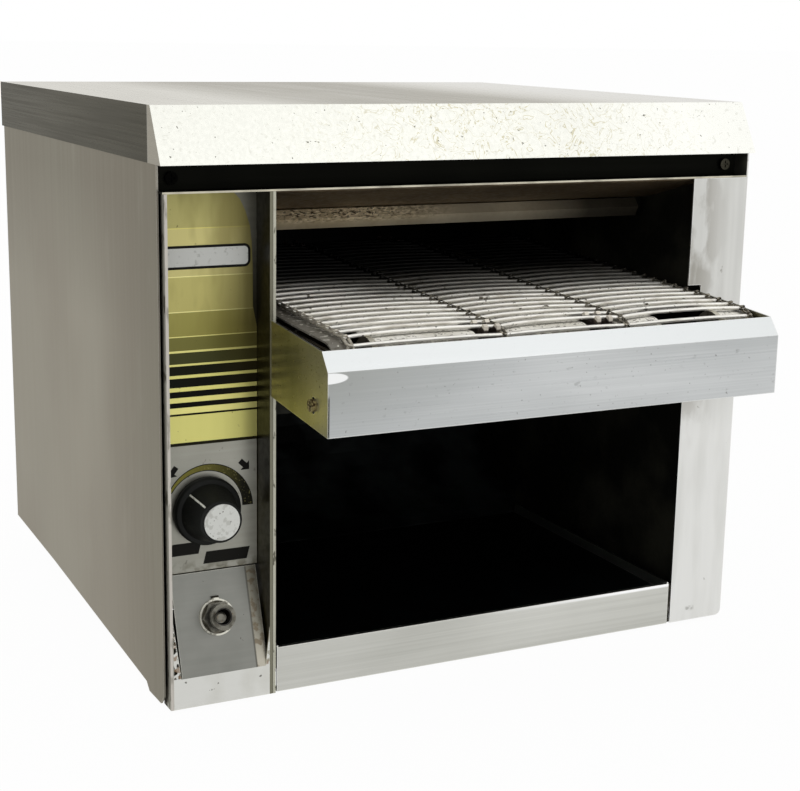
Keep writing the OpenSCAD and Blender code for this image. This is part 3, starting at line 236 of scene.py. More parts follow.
def feel(tree, shader, value, roughness=None, depth_mm=0.0):
    """Lets a pattern set the roughness between two values and raise the surface by a depth."""
    if roughness:
        tree.links.new(spread(tree, value, 0.3, 0.7, *roughness), shader.inputs["Roughness"])
    if depth_mm:
        relief = add(tree, "ShaderNodeBump", {"Height": value, "Strength": 1.0,
                                              "Distance": depth_mm / 1000})
        tree.links.new(relief.outputs[0], shader.inputs["Normal"])


def dress(material, *nodes):
    """Gives CAD nodes their finish."""
    for node in nodes:
        frame["nodes"][node].material_slots[0].material = material


def sheet_steel(name, bright, dull, grain=(8, 800, 800), mottle=14,
                roughness=(0.28, 0.42), depth_mm=0.004, metallic=1.0):
    """Rolled stainless sheet: streaks about 1 mm apart, drawn coarser than the real grain so
    that they show, and soft patches of wear between a bright and a dull grey. The edge tint
    dims the glare where the sheet is seen at a grazing angle."""
    material, tree, shader = new_finish(name, dull, metallic, roughness[0])
    shader.inputs["Specular Tint"].default_value = hex_colour("#d6d4ce")
    streaks = texture(tree, grain, 4.0)
    clouds = texture(tree, mottle, 3.0, 7.3)
    tone = maths(tree, "ADD", spread(tree, streaks, 0.3, 0.7, 0.0, 0.45),
                 spread(tree, clouds, 0.32, 0.68, 0.0, 0.55))
    coat(tree, shader, bright, tone)
    feel(tree, shader, streaks, roughness, depth_mm)
    return material, tree, shader


def from_axis(tree, point, direction, near_mm, far_mm):
    """0 to 1 from a near to a far distance from the line through a point along a direction."""
    place = add(tree, "ShaderNodeTexCoord").outputs["Object"]
    gap = vectors(tree, "SUBTRACT", place, Vector(point))
    distance = vectors(tree, "LENGTH", vectors(tree, "CROSS_PRODUCT", gap, Vector(direction)))
    return spread(tree, distance, near_mm / 1000, far_mm / 1000)


def edge_wear_and_highlight(tree, shader, colour, reach_mm=1.2, strength=0.8):
    """Polished edges with a painted highlight: where a rounded normal leaves the face's own, the
    colour is laid on, for wear and for the light that a rounded edge catches.
    """
    rounded = add(tree, "ShaderNodeBevel", {"Radius": reach_mm / 1000}, samples=4).outputs[0]
    own = add(tree, "ShaderNodeNewGeometry").outputs["Normal"]
    likeness = vectors(tree, "DOT_PRODUCT", rounded, own)
    coat(tree, shader, colour, spread(tree, likeness, 0.99, 0.8, 0.0, strength))


base_steel, tree, shader = sheet_steel("mill_finish_base_steel", "#8d8a83", "#6f6c65")
coat(tree, shader, "#4d463a", patches(tree, 35, 0.22, 0.06))
dress(base_steel, "base_pan")

# Moulded black rubber: matt, slightly grey with dust, with a fine grit of 0.6 mm.
rubber, tree, shader = new_finish("moulded_foot_rubber", "#1d1c1b", 0.0, 0.75, 0.2)
coat(tree, shader, "#34322f", patches(tree, 120, 0.3, 0.1))
feel(tree, shader, texture(tree, 1600, 2.0), (0.65, 0.85), 0.03)
dress(rubber, "feet")


# ---------------------------------------------------------------- side and rear panels
# The sides are stainless sheets with folded flanges; the right one also folds round the front
# as the wide post beside the openings. The rear panel is a punched sheet of the same steel.

side_steel, tree, shader = sheet_steel("stainless_side_panel", "#a39e92", "#949085",
                                       (180, 180, 4), (5, 5, 3.5), (0.32, 0.4), 0.001)
coat(tree, shader, "#7b776b", along(tree, "Y", 120, 20), 0.7)
coat(tree, shader, "#7d796e", along(tree, "Z", 190, 275), 0.75)
coat(tree, shader, "#7d7268", patches(tree, (7, 9, 6), 0.35, 0.12, 2.0, 3.1), 0.25)
coat(tree, shader, "#a5a297", patches(tree, (60, 60, 16), 0.08, 0.04, 3.0), 0.12)
# Edges painted light: wear and painted highlight.
edge_wear_and_highlight(tree, shader, "#c9c6bd", 1.0, 0.6)
dress(side_steel, "left_side_panel")

post_steel, tree, shader = sheet_steel("stainless_post", "#dadad6", "#c6c6c2",
                                       (300, 300, 5), (12, 12, 7), (0.28, 0.38), 0.001)
smudge = patches(tree, (60, 60, 26), 0.45, 0.05, 5.0, 2.0)
coat(tree, shader, "#e6e6e3", along(tree, "Z", 170, 120), 0.7)
coat(tree, shader, "#8a857b", along(tree, "X", 352, 330), smudge, along(tree, "Z", 110, 160), 0.75)
coat(tree, shader, "#6b6558", patches(tree, (200, 200, 160), 0.012, 0.02, 4.0, 9.0), 0.6)
thumb_mark = times(tree, along(tree, "X", 336, 337.5), along(tree, "X", 343.5, 342),
                   along(tree, "Z", 6.0, 7.6), along(tree, "Z", 10.2, 8.6))
grain = spread(tree, texture(tree, 500), 0.35, 0.55)
coat(tree, shader, "#8d8d86", thumb_mark, grain, 0.6)
coat(tree, shader, "#b4b4ad", patches(tree, (70, 70, 12), 0.35, 0.12, 3.0, 4.0), 0.3)
# Edges painted near white: wear and painted highlight.
edge_wear_and_highlight(tree, shader, "#f4f4f0", 1.0, 0.8)
dress(post_steel, "right_side_panel")

rear_steel, tree, shader = sheet_steel("stainless_rear_panel", "#a5a29a", "#8c8980",
                                       (700, 700, 6), (8, 8, 6))
coat(tree, shader, "#6d675b", patches(tree, (25, 25, 16), 0.25, 0.15, 3.0), 0.25)
# Edges painted light: wear and painted highlight.
edge_wear_and_highlight(tree, shader, "#c6c3ba", 0.8, 0.5)
dress(rear_steel, "rear_panel")


# ---------------------------------------------------------------- front rail and housing screws
# A folded rail closes the front over the openings. Its web lies in the hood's shadow and is
# painted black, baked-on grease and painted shade together; the edge of its lower flange carries a
# painted highlight.

rail_steel, tree, shader = sheet_steel("greasy_rail_steel", "#11120d", "#080806",
                                       (9, 700, 700), 20, (0.4, 0.6), metallic=0.6)
shader.inputs["Specular IOR Level"].default_value = 0.1
# Painted highlight on the front edge of the lower flange.
edge = times(tree, facing(tree, (0, -1, 0)), along(tree, "Y", 1.2, 0.8))
coat(tree, shader, "#d8d3bf", edge, spread(tree, texture(tree, 60), 0.35, 0.6, 0.55, 1))
dress(rail_steel, "front_rail")

# Zinc-plated pan heads: pale grey with a yellow tinge and dark dirt in the cross. The two in the
# rail are painted black, grease and the painted shade of the hood, the right one a little less
# dark.
zinc, tree, shader = new_finish("zinc_plated_screws", "#a9a79c", 1.0, 0.36)
coat(tree, shader, "#6e6a5c", patches(tree, 900, 0.35, 0.08))
# Painted shade on the two screws in the rail.
rail_screws_shade = times(tree, along(tree, "Z", 270, 280), along(tree, "Y", 30, 20))
coat(tree, shader, "#060605", rail_screws_shade)
coat(tree, shader, "#5b584c", rail_screws_shade, along(tree, "X", 300, 310), 0.5)
feel(tree, shader, texture(tree, 1500), (0.3, 0.5), 0.01)
dress(zinc, "housing_screws", "motor_screws")


# ---------------------------------------------------------------- oven walls, baffle and chute
# Sheet-steel walls round the belt, browned and blackened by heat. The outer faces of the
# divider's two sheets end in bright edges; the baffle and its bar have turned tan.

def baked_steel(name, clean, burnt, share, roughness=(0.45, 0.65), metallic=0.5):
    """Oven sheet after years of heat: dark patches of baked-on film over the steel."""
    material, tree, shader = new_finish(name, clean, metallic, roughness[0], 0.15)
    coat(tree, shader, burnt, patches(tree, 22, share, 0.1))
    feel(tree, shader, texture(tree, 300, 5.0, 4.0), roughness, 0.03)
    return material, tree, shader


oven_steel, tree, shader = baked_steel("baked_oven_steel", "#35342c", "#181814", 0.6)
dress(oven_steel, "oven_right_wall", "top_reflector", "shelf_crossmember")

divider_steel, tree, shader = baked_steel("divider_steel", "#2c2a1c", "#0b0b08", 0.6)
edge_dirt = patches(tree, (300, 300, 120), 0.12, 0.03, 4.0, 3.0)
coat(tree, shader, "#bfbeae", facing(tree, (0, -1, 0)))
coat(tree, shader, "#4a4637", facing(tree, (0, -1, 0)), edge_dirt, 0.8)
dress(divider_steel, "divider_wall")

chute_steel, tree, shader = baked_steel("polished_chute_steel", "#464b4b", "#181919", 0.5,
                                        (0.3, 0.5), 0.8)
# Painted shade: the chute turns near black from 150 to 190 mm up, deep inside the oven.
coat(tree, shader, "#0c0c0c", along(tree, "Z", 150, 190))
dress(chute_steel, "return_chute")

baffle_steel, tree, shader = baked_steel("heat_tinted_baffle", "#7a6a54", "#5f5040", 0.45,
                                         (0.35, 0.55), 0.8)
coat(tree, shader, "#8d7f69", patches(tree, (40, 120, 120), 0.2, 0.05, 5.0, 2.2), 0.4)
dress(baffle_steel, "front_baffle")

bar_steel, tree, shader = baked_steel("flaking_bar_steel", "#f8e8c8", "#cdbb98", 0.6,
                                      (0.45, 0.7), 0.6)
coat(tree, shader, "#a09988", along(tree, "X", 130, 210), 0.8)
coat(tree, shader, "#8d8678", along(tree, "Z", 254, 250), 0.5)
coat(tree, shader, "#24211b", along(tree, "X", 240, 290), 0.9)
flaky = times(tree, along(tree, "X", 76, 96), along(tree, "X", 200, 150),
              along(tree, "Z", 251, 256))
coat(tree, shader, "#fff2d2", patches(tree, (330, 900, 900), 0.36, 0.03, 6.0, 5.0), flaky, 0.9)
coat(tree, shader, "#3a2a1a", patches(tree, (400, 900, 900), 0.27, 0.02, 6.0, 8.0), flaky, 0.9)
dress(bar_steel, "baffle_bar")


# ---------------------------------------------------------------- heating elements
# Sheathed tubular elements: iron-nickel tube, oxidised to a matt grey-black, in white
# steatite collars, with a disc thermostat clipped to the divider.

sheath, tree, shader = new_finish("oxidised_element_sheath", "#2c2a28", 0.7, 0.6)
coat(tree, shader, "#4a3a30", patches(tree, (70, 200, 200), 0.35, 0.08))
feel(tree, shader, texture(tree, 900, 4.0), (0.5, 0.7), 0.02)
dress(sheath, "upper_heaters", "lower_heaters")

steatite, tree, shader = new_finish("steatite_collars", "#d9d4c6", 0.0, 0.5)
coat(tree, shader, "#b3a58c", patches(tree, 160, 0.3, 0.1))
feel(tree, shader, texture(tree, 1200), (0.4, 0.6), 0.01)
dress(steatite, "heater_insulators")

disc, tree, shader = new_finish("thermostat_aluminium", "#bdbbb4", 1.0, 0.35)
coat(tree, shader, "#96938a", patches(tree, 200, 0.25, 0.1))
feel(tree, shader, texture(tree, (800, 60, 60)), (0.28, 0.45), 0.008)
dress(disc, "limit_thermostat")


# ---------------------------------------------------------------- conveyor frame
# Flat steel rails carry two shafts in bronze bushings; cross strips and rods hold the belt up.
# The guard plate behind the front wires is grey-white with crumbs and ash baked onto it; painted
# shade darkens it under the wires and towards the back.

joints = {joint["name"]: joint for joint in frame["joints"]}
front_axle = np.array(joints["idler_shaft_turn"]["pos_m"])
rear_axle = np.array(joints["drive_shaft_turn"]["pos_m"])

rail_sheet, tree, shader = baked_steel("conveyor_rail_steel", "#5a5142", "#2a261e", 0.5,
                                       (0.35, 0.55), 0.8)
# Edges painted light: wear and painted highlight.
edge_wear_and_highlight(tree, shader, "#8f8b7f", 0.8, 0.7)
dress(rail_sheet, "conveyor_rails", "belt_supports", "rail_spacers")

guard_steel, tree, shader = new_finish("ash_coated_guard", "#fbf8ee", 0.1, 0.62)
coat(tree, shader, "#e6e2d5", patches(tree, 55, 0.35, 0.1))
# Painted shade under the wires, from an occlusion node, and painted shadow of the hood from 18 mm
# back.
wire_contact_shade = add(tree, "ShaderNodeAmbientOcclusion", {"Distance": 0.005}, samples=8).outputs["AO"]
coat(tree, shader, "#3d382d", spread(tree, wire_contact_shade, 0.8, 0.45, 0.0, 0.85))
coat(tree, shader, "#2f2d27", along(tree, "Y", 18, 50), 0.85)
coat(tree, shader, "#4b4436", along(tree, "X", 78, 75), 0.85)
coat(tree, shader, "#5b564a", patches(tree, 520, 0.16, 0.02, 4.0, 3.0), 0.8)
coat(tree, shader, "#dedccf", patches(tree, 300, 0.12, 0.02, 3.0, 6.0), 0.8)
feel(tree, shader, texture(tree, 700, 5.0), (0.5, 0.75), 0.08)
dress(guard_steel, "idler_guard")

shaft_steel, tree, shader = new_finish("ground_shaft_steel", "#8f8c85", 1.0, 0.34)
coat(tree, shader, "#5a544a", patches(tree, (60, 300, 300), 0.3, 0.08))
feel(tree, shader, texture(tree, (900, 60, 60)), (0.28, 0.45), 0.006)
dress(shaft_steel, "idler_shaft", "drive_shaft")

# Pressed guide discs and collars: brown film on the faces, the rim rubbed pale by the wires.
disc_steel, tree, shader = new_finish("rubbed_guide_discs", "#c9c4b4", 0.6, 0.42)
coat(tree, shader, "#6b665a", facing(tree, (1, 0, 0)))
coat(tree, shader, "#6b665a", facing(tree, (-1, 0, 0)))
coat(tree, shader, "#4c463b", patches(tree, 300, 0.25, 0.08))
feel(tree, shader, texture(tree, 900), (0.35, 0.5), 0.02)
dress(disc_steel, "shaft_collars")

# Cast sprockets: dark brown grease film. Only the front sprockets' tooth tips are painted light,
# for rubbing by the wires and as painted highlight; the rear tips, in the oven's shade, keep the
# dark film.
cast_iron, tree, shader = new_finish("greasy_sprocket_iron", "#2b2320", 0.5, 0.5)
coat(tree, shader, "#4d4138", patches(tree, 350, 0.3, 0.06))
tips = times(tree, from_axis(tree, front_axle, (1, 0, 0), 15.2, 15.8),
             from_axis(tree, front_axle, (1, 0, 0), 22, 20))
coat(tree, shader, "#e6dfd2", tips)
feel(tree, shader, texture(tree, 900, 4.0), (0.4, 0.6), 0.05)
dress(cast_iron, "idler_sprockets", "drive_sprockets")

bronze, tree, shader = new_finish("sintered_bronze", "#7d6440", 1.0, 0.42)
coat(tree, shader, "#4e4029", patches(tree, 500, 0.35, 0.08))
feel(tree, shader, texture(tree, 2200), (0.36, 0.5), 0.01)
dress(bronze, "shaft_bushings")


# ---------------------------------------------------------------- wire belt
# Spring-steel strands 2.2 mm thick lie across the loop, one every 10.8 mm. Each is bent to
# hook into the one in front of it at both edges and at two columns beside the sprockets.

rise = rear_axle[2] - front_axle[2]
run = rear_axle[1] - front_axle[1]
slope = math.atan2(rise, run)
loop_length = math.hypot(rise, run)
straight_steps = 24
wrap_steps = 4
steps = 2 * (straight_steps + wrap_steps)
pitch = loop_length / straight_steps
loop_radius = pitch / (2 * math.sin(math.pi / (2 * wrap_steps)))
wire_radius = 0.0011
belt_low, belt_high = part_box("conveyor_belt")
hub_length = 0.0065
sprocket_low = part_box("idler_sprockets")[0].x + hub_length


def on_loop(across, step, lift):
    """Point of the belt and its outward direction: across is X, step counts strands round the
    loop from the top of the front shaft, lift is the height over the wires' line. The loop is
    two straight runs joined by half circles, tilted by the belt's slope."""
    step = np.mod(step, steps)
    turn = math.pi / wrap_steps
    first, second, third = wrap_steps, wrap_steps + straight_steps, steps - straight_steps
    angle = np.select([step < first, step < second, step < third],
                      [math.pi / 2 + step * turn, np.full_like(step, 1.5 * math.pi),
                       1.5 * math.pi + (step - second) * turn], math.pi / 2)
    centre = np.select([step < first, step < second, step < third],
                       [np.zeros_like(step), (step - first) * pitch,
                        np.full_like(step, loop_length)], (steps - step) * pitch)
    u = centre + (loop_radius + lift) * np.cos(angle)
    v = (loop_radius + lift) * np.sin(angle)
    c, s = math.cos(slope), math.sin(slope)
    point = np.stack([across + 0 * u, front_axle[1] + u * c - v * s,
                      front_axle[2] + u * s + v * c], -1)
    out = np.stack([0 * u, np.cos(angle) * c - np.sin(angle) * s,
                    np.cos(angle) * s + np.sin(angle) * c], -1)
    return point, out


def wires(paths, outward, radius, sides=8):
    """Round wires along many paths of equal point counts: at each point a ring of sides points
    stands square to the path, its first axis the outward direction; the ends are closed."""
    count, length = paths.shape[:2]
    ahead = np.gradient(paths, axis=1)
    ahead /= np.linalg.norm(ahead, axis=-1, keepdims=True)
    side = np.cross(ahead, outward)
    side /= np.linalg.norm(side, axis=-1, keepdims=True)
    up = np.cross(side, ahead)
    ring = np.arange(sides) * 2 * math.pi / sides
    points = (paths[:, :, None] + radius * (np.cos(ring)[:, None] * up[:, :, None]
                                            + np.sin(ring)[:, None] * side[:, :, None]))
    index = np.arange(count * length * sides).reshape(count, length, sides)
    turned = np.roll(index, -1, axis=2)
    walls = np.stack([index[:, :-1], index[:, 1:], turned[:, 1:], turned[:, :-1]], -1)
    caps = np.concatenate([index[:, 0], index[:, -1, ::-1]])
    return points.reshape(-1, 3), walls.reshape(-1, 4).tolist() + caps.tolist()


def new_piece(name, points, faces, material, body="housing", smooth=True):
    """A mesh piece that rides on a body of the frame."""
    mesh = bpy.data.meshes.new(name)
    mesh.from_pydata(np.asarray(points).tolist(), [], faces)
    mesh.materials.append(material)
    if smooth:
        mesh.shade_smooth()
    mesh.update()
    piece = bpy.data.objects.new(name, mesh)
    scene.collection.objects.link(piece)
    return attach(piece, body)


wire_steel, tree, shader = new_finish("spring_steel_wire", "#fdfbf4", 0.7, 0.5)
coat(tree, shader, "#b5ad9d", patches(tree, (60, 300, 300), 0.16, 0.08), 0.5)
coat(tree, shader, "#5c564b", patches(tree, (220, 300, 300), 0.04, 0.03, 4.0, 4.0))
# Painted shadow of the hood: right of 105 mm the strands darken from 18 mm back, everywhere from
# 60 mm back, and turn near black further back as painted shade.
coat(tree, shader, "#55524a", along(tree, "Y", 18, 50), along(tree, "X", 105, 150), 0.8)
coat(tree, shader, "#4c4942", along(tree, "Y", 60, 95), 0.8)
coat(tree, shader, "#0b0a09", along(tree, "Y", 66, 108), 0.97)
feel(tree, shader, texture(tree, 400), (0.38, 0.55), 0.01)

hook_steel, tree, shader = new_finish("grimy_wire_hooks", "#8f897a", 0.7, 0.5)
coat(tree, shader, "#2d2820", patches(tree, 500, 0.4, 0.05))
coat(tree, shader, "#d6d0c1", patches(tree, 700, 0.15, 0.03, 3.0, 5.0))
# Painted light on the left column of hooks; from 18 mm back painted shadow of the hood, near black
# further back as painted shade.
coat(tree, shader, "#e0dacc", along(tree, "X", 85, 80), 0.6)
coat(tree, shader, "#2c2a25", along(tree, "Y", 18, 50), 0.85)
coat(tree, shader, "#0b0a09", along(tree, "Y", 55, 105), 0.95)
feel(tree, shader, texture(tree, 1200, 4.0), (0.4, 0.65), 0.06)

# Columns of hooks stand at both edges and beside the two wheels. Bow and setback are in
# strands: the middle of each span lies behind its ends, and the whole belt sits back a little.
inset = 0.0012
left_edge, right_edge = belt_low.x + inset, belt_high.x - inset
columns = [left_edge, sprocket_low + 0.0062, sprocket_low + 0.083, right_edge]
bow, setback = 0.5, 0.265
strand = np.arange(steps, dtype=float)
span_points = 18
share = np.linspace(0, 1, span_points)
across = np.concatenate([np.linspace(a, b, span_points)[:-1]
                         for a, b in zip(columns, columns[1:])] + [[right_edge]])
bend = np.concatenate([np.abs(2 * share - 1)[:-1] ** 2.5] * 3 + [[1.0]])
# The strand that goes down round the front shaft is held flatter and higher by the discs.
first_down = strand == 1
lifted, bow_left = 0.35, 0.15
ends = strand + bow - setback - lifted * first_down
lead = bow * np.where(first_down, bow_left, 1.0)[:, None] * (1 - bend)[None, :]
path, out = on_loop(across[None, :], ends[:, None] - lead, 0.0)
points, faces = wires(path, out, wire_radius)
strands = new_piece("conveyor_strands", points, faces, wire_steel)
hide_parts("conveyor_belt")

# A hook leaves its strand, climbs over the next one and returns beside itself. It reaches a
# little past that strand and starts to climb at three quarters of the way.
hook_points = 15
past, climb_from, climb_height, half_width = 0.06, 0.75, 0.0015, 0.0014
way = np.linspace(0, 1, hook_points)
reach = np.sin(math.pi * way) ** 0.5
width = -half_width * np.cos(math.pi * way)
climb = climb_height * np.clip((reach * (1 + past) - climb_from) / (1 + past - climb_from), 0, 1)
to_next = np.mod(np.roll(ends, -1) - ends, steps) + past
middle = np.array([columns[0] + inset, columns[1], columns[2], columns[3] - inset])
hook_step = ends[:, None, None] + to_next[:, None, None] * reach[None, None, :]
hook_x = middle[None, :, None] + width[None, None, :]
path, out = on_loop(*np.broadcast_arrays(hook_x, hook_step, climb))
points, faces = wires(path.reshape(-1, hook_points, 3), out.reshape(-1, hook_points, 3),
                      wire_radius * 0.75, 6)
hooks = new_piece("conveyor_hooks", points, faces, hook_steel)


# ---------------------------------------------------------------- drive
# A shaded-pole motor on a zinc gearbox turns the rear shaft through a roller chain. It sits
# behind the control box and stays fairly clean, apart from grease on the chain.

chain_steel, tree, shader = new_finish("oiled_chain_steel", "#6f6a60", 1.0, 0.32)
coat(tree, shader, "#2c2822", patches(tree, 600, 0.4, 0.06))
feel(tree, shader, texture(tree, 1500), (0.25, 0.45), 0.01)
dress(chain_steel, "drive_chain", "chain_sprocket", "motor_sprocket")

die_cast, tree, shader = new_finish("die_cast_zinc", "#8e8e8b", 0.9, 0.5)
coat(tree, shader, "#74736e", patches(tree, 120, 0.3, 0.1))
feel(tree, shader, texture(tree, 1100, 4.0), (0.42, 0.6), 0.04)
dress(die_cast, "gearbox")

# Laminated frame: sheets 0.8 mm thick stacked along X show as fine dark lines.
laminated, tree, shader = new_finish("laminated_motor_iron", "#4c4a48", 0.8, 0.5)
coat(tree, shader, "#242220",
     spread(tree, texture(tree, (1250, 4, 4), 1.0), 0.52, 0.6, 0.0, 0.8))
coat(tree, shader, "#6f3a22", facing(tree, (0, 0, -1)), 0.8)
feel(tree, shader, texture(tree, (1250, 4, 4), 1.0), (0.4, 0.6), 0.05)
dress(laminated, "drive_motor")


# ---------------------------------------------------------------- feed shelf
# A folded stainless shelf wraps the front of the conveyor. Its face is brushed lengthwise, its
# rolled bevel carries a painted highlight, and the left cheek mirrors the dull yellow of the
# label.

shelf_steel, tree, shader = sheet_steel("brushed_shelf_steel", "#cfd1d1", "#adb0b0",
                                        (7, 900, 900), (7, 30, 30), (0.26, 0.4))
coat(tree, shader, "#a0a4a5", along(tree, "X", 200, 60), 0.3)
coat(tree, shader, "#5d5c55", patches(tree, 420, 0.03, 0.02, 3.0, 3.3), 0.6)
# Painted highlight on the rolled bevel, which faces forward and up.
coat(tree, shader, "#e4e7e7", facing(tree, (0, -0.78, 0.62), 0.93, 0.98), 0.92)
cheek = facing(tree, (-1, 0, 0))
coat(tree, shader, "#bab69a", cheek)
coat(tree, shader, "#9d9a7d", cheek, spread(tree, texture(tree, (30, 30, 16), 3.0), 0.4, 0.62))
coat(tree, shader, "#c2be98", cheek, along(tree, "Y", -40, -74), 0.5)
coat(tree, shader, "#56522f", cheek, patches(tree, 300, 0.015, 0.03, 4.0))
front = facing(tree, (0, -1, 0), 0.97, 0.99)
shade = times(tree, along(tree, "X", 150, 60), along(tree, "Z", 160, 192))
coat(tree, shader, "#9b9d99", front, shade, 0.8)
coat(tree, shader, "#858785", front, patches(tree, (160, 160, 260), 0.02, 0.04, 3.0, 6.4), 0.4)
# The bevel's torn end shows as a white lens at the left corner, over an open slit.
burr_centre = Vector(ZERO) + Vector((0.0582, 0, 0.1923))
burr_width, burr_height = 0.0101, 0.0027
place = add(tree, "ShaderNodeTexCoord").outputs["Object"]
lens = vectors(tree, "MULTIPLY", vectors(tree, "SUBTRACT", place, burr_centre),
               (1 / burr_width, 0, 1 / burr_height))
coat(tree, shader, "#f4f5f4", front, spread(tree, vectors(tree, "LENGTH", lens), 1.05, 0.95))
slit = times(tree, along(tree, "X", 58.6, 58.4), along(tree, "Z", 184, 182))
coat(tree, shader, "#35352f", front, slit)
fold_line = times(tree, along(tree, "Z", 144, 145), along(tree, "Z", 147.5, 146.5))
coat(tree, shader, "#6d6f6d", front, fold_line, 0.6)
inside = facing(tree, (0, 1, 0.2), 0.3, 0.6)
coat(tree, shader, "#7c7566", inside, 0.5)
# Edges painted near white: wear and painted highlight.
edge_wear_and_highlight(tree, shader, "#eff0ec", 1.0, 0.8)
dress(shelf_steel, "feed_shelf")

rusty_screw, tree, shader = new_finish("rusty_slot_screws", "#8f8460", 0.8, 0.5)
coat(tree, shader, "#3b2c18", patches(tree, 700, 0.45, 0.05))
feel(tree, shader, texture(tree, 1500), (0.4, 0.6), 0.05)
dress(rusty_screw, "shelf_screws")


# ---------------------------------------------------------------- receiving tray
# A shallow stainless pan slides into the lower opening. Its edges are painted light, for rubbing
# and as painted highlight, with a white painted highlight along the top of the lip; inside the
# opening its floor is painted dark as shade, with a painted sheen towards the front.

tray_steel, tree, shader = sheet_steel("stainless_tray", "#cfcfc9", "#b3b3ac",
                                       (7, 800, 800), (9, 20, 20), (0.28, 0.4))
# Painted shade on the floor inside the opening, from 12 mm back.
coat(tree, shader, "#24282a", facing(tree, (0, 0, 1)), along(tree, "Y", 3.5, 12), 0.97)
floor_sheen = times(tree, facing(tree, (0, 0, 1)), along(tree, "Y", 160, 20),
                    patches(tree, (28, 12, 10), 0.35, 0.12, 3.0, 1.7), 0.5)
coat(tree, shader, "#4c555c", floor_sheen)
lip = facing(tree, (0, -1, 0))
coat(tree, shader, "#a3a39c", lip, along(tree, "X", 170, 60), 0.3)
# Painted highlight along the top fold of the lip.
coat(tree, shader, "#ffffff", lip, along(tree, "Z", 24.3, 25.3), along(tree, "X", 190, 290))
# Edges painted near white: wear and painted highlight.
edge_wear_and_highlight(tree, shader, "#eeeee6", 1.0, 0.9)
dress(tray_steel, "receiving_tray")

# A near-black strip fills the slot between the lip's end and the post as painted shade of the
# slot; it stays on the housing. Its front swells and sinks by up to 0.3 mm.
slot_shade_filler, tree, shader = new_finish("old_black_grease", "#1b1914", 0.0, 0.6, 0.2)
coat(tree, shader, "#3a3428", patches(tree, 500, 0.3, 0.08))
feel(tree, shader, texture(tree, 900, 4.0), (0.5, 0.75), 0.05)
tray_play, post_play = 0.0004, 0.0002
front_gap, back_gap, swelling = 0.0008, 0.003, 0.0003
slot_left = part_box("receiving_tray")[1].x + tray_play
slot_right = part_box("right_side_panel")[0].x - post_play
level = ZERO[2] + np.linspace(0.001, 0.026, 18)
swell = swelling * np.sin(level * 900) * np.sin(level * 2100)
face = ZERO[1] + front_gap + swell
back = np.full_like(level, ZERO[1] + back_gap)
corners = [(slot_left, face), (slot_right, face), (slot_right, back), (slot_left, back)]
points = np.stack([np.stack([np.full_like(level, x), y, level], -1) for x, y in corners], 1)
index = np.arange(level.size * 4).reshape(level.size, 4)
turned = np.roll(index, -1, axis=1)
walls = np.stack([index[:-1], turned[:-1], turned[1:], index[1:]], -1).reshape(-1, 4)
caps = [index[0, ::-1].tolist(), index[-1].tolist()]
slot_shade_piece = new_piece("post_slot_grease", points.reshape(-1, 3), walls.tolist() + caps, slot_shade_filler,
                        smooth=False)


# ---------------------------------------------------------------- control box
# Two sheet walls form a recess; a faceplate stands at its back and a sloped plate with a front
# skirt at its foot. The walls mirror the label, so they look olive and near black.

recess_steel, tree, shader = baked_steel("recess_wall_steel", "#3a3518", "#171408", 0.5,
                                         (0.3, 0.45), 0.7)
coat(tree, shader, "#7b7969", facing(tree, (0, -1, 0)))
coat(tree, shader, "#8b8a80", facing(tree, (1, 0, 0)), 0.6)
dress(recess_steel, "control_wall_right")

outer_recess, tree, shader = sheet_steel("recess_left_wall", "#a9a8a0", "#8f8d84",
                                         (700, 700, 6), (30, 30, 12))
coat(tree, shader, "#3a372c", patches(tree, (200, 200, 90), 0.2, 0.04), 0.8)
# Painted shade: the outer face from 7 mm back, seen through the gap beside the side panel, is
# painted black.
coat(tree, shader, "#0d0c09", facing(tree, (-1, 0, 0)), along(tree, "Y", 5, 7))
coat(tree, shader, "#bfbab2", facing(tree, (0, -1, 0)))
coat(tree, shader, "#7d7a6e", facing(tree, (0, -1, 0)),
     patches(tree, (300, 300, 60), 0.2, 0.03, 4.0, 6.0), 0.6)
dress(outer_recess, "control_wall_left")

plate_steel, tree, shader = sheet_steel("faceplate_steel", "#76756a", "#666459",
                                        (8, 300, 300), 20, (0.35, 0.45), 0.001)
coat(tree, shader, "#2e2b1c", along(tree, "Z", 262, 215), 0.9)
dress(plate_steel, "control_faceplate")

bracket_steel, tree, shader = sheet_steel("switch_plate_steel", "#8b8b85", "#787973",
                                          (8, 300, 300), 40, (0.34, 0.44), 0.001)
skirt = facing(tree, (0, -1, 0), 0.97, 0.995)
coat(tree, shader, "#d4d4cf", skirt)
coat(tree, shader, "#bebdb4", skirt, patches(tree, (60, 60, 40), 0.3, 0.1), 0.4)
gusset = times(tree, skirt, along(tree, "Z", 17.2, 17.8))
coat(tree, shader, "#17150f", gusset, along(tree, "X", 30, 28),
     patches(tree, 330, 0.5, 0.02, 4.0))
coat(tree, shader, "#86705a", gusset, patches(tree, 260, 0.3, 0.03, 4.0, 3.0), 0.8)
coat(tree, shader, "#8f8a78", gusset, along(tree, "X", 28, 30),
     patches(tree, 300, 0.3, 0.03, 4.0, 7.0), 0.7)
right_strip = times(tree, along(tree, "X", 49.6, 50), less(tree, skirt))
coat(tree, shader, "#8b8778", right_strip, 0.7)
coat(tree, shader, "#bdb8aa", right_strip, along(tree, "Z", 40, 20), 0.8)
coat(tree, shader, "#6a5c48", right_strip, patches(tree, 260, 0.25, 0.05, 4.0, 2.0), 0.7)
coat(tree, shader, "#45423a", along(tree, "X", 48.8, 49.2), along(tree, "X", 50.2, 49.8),
     less(tree, skirt), 0.6)
coat(tree, shader, "#3a362b", patches(tree, 330, 0.01, 0.01, 3.0, 6.0), 0.8)
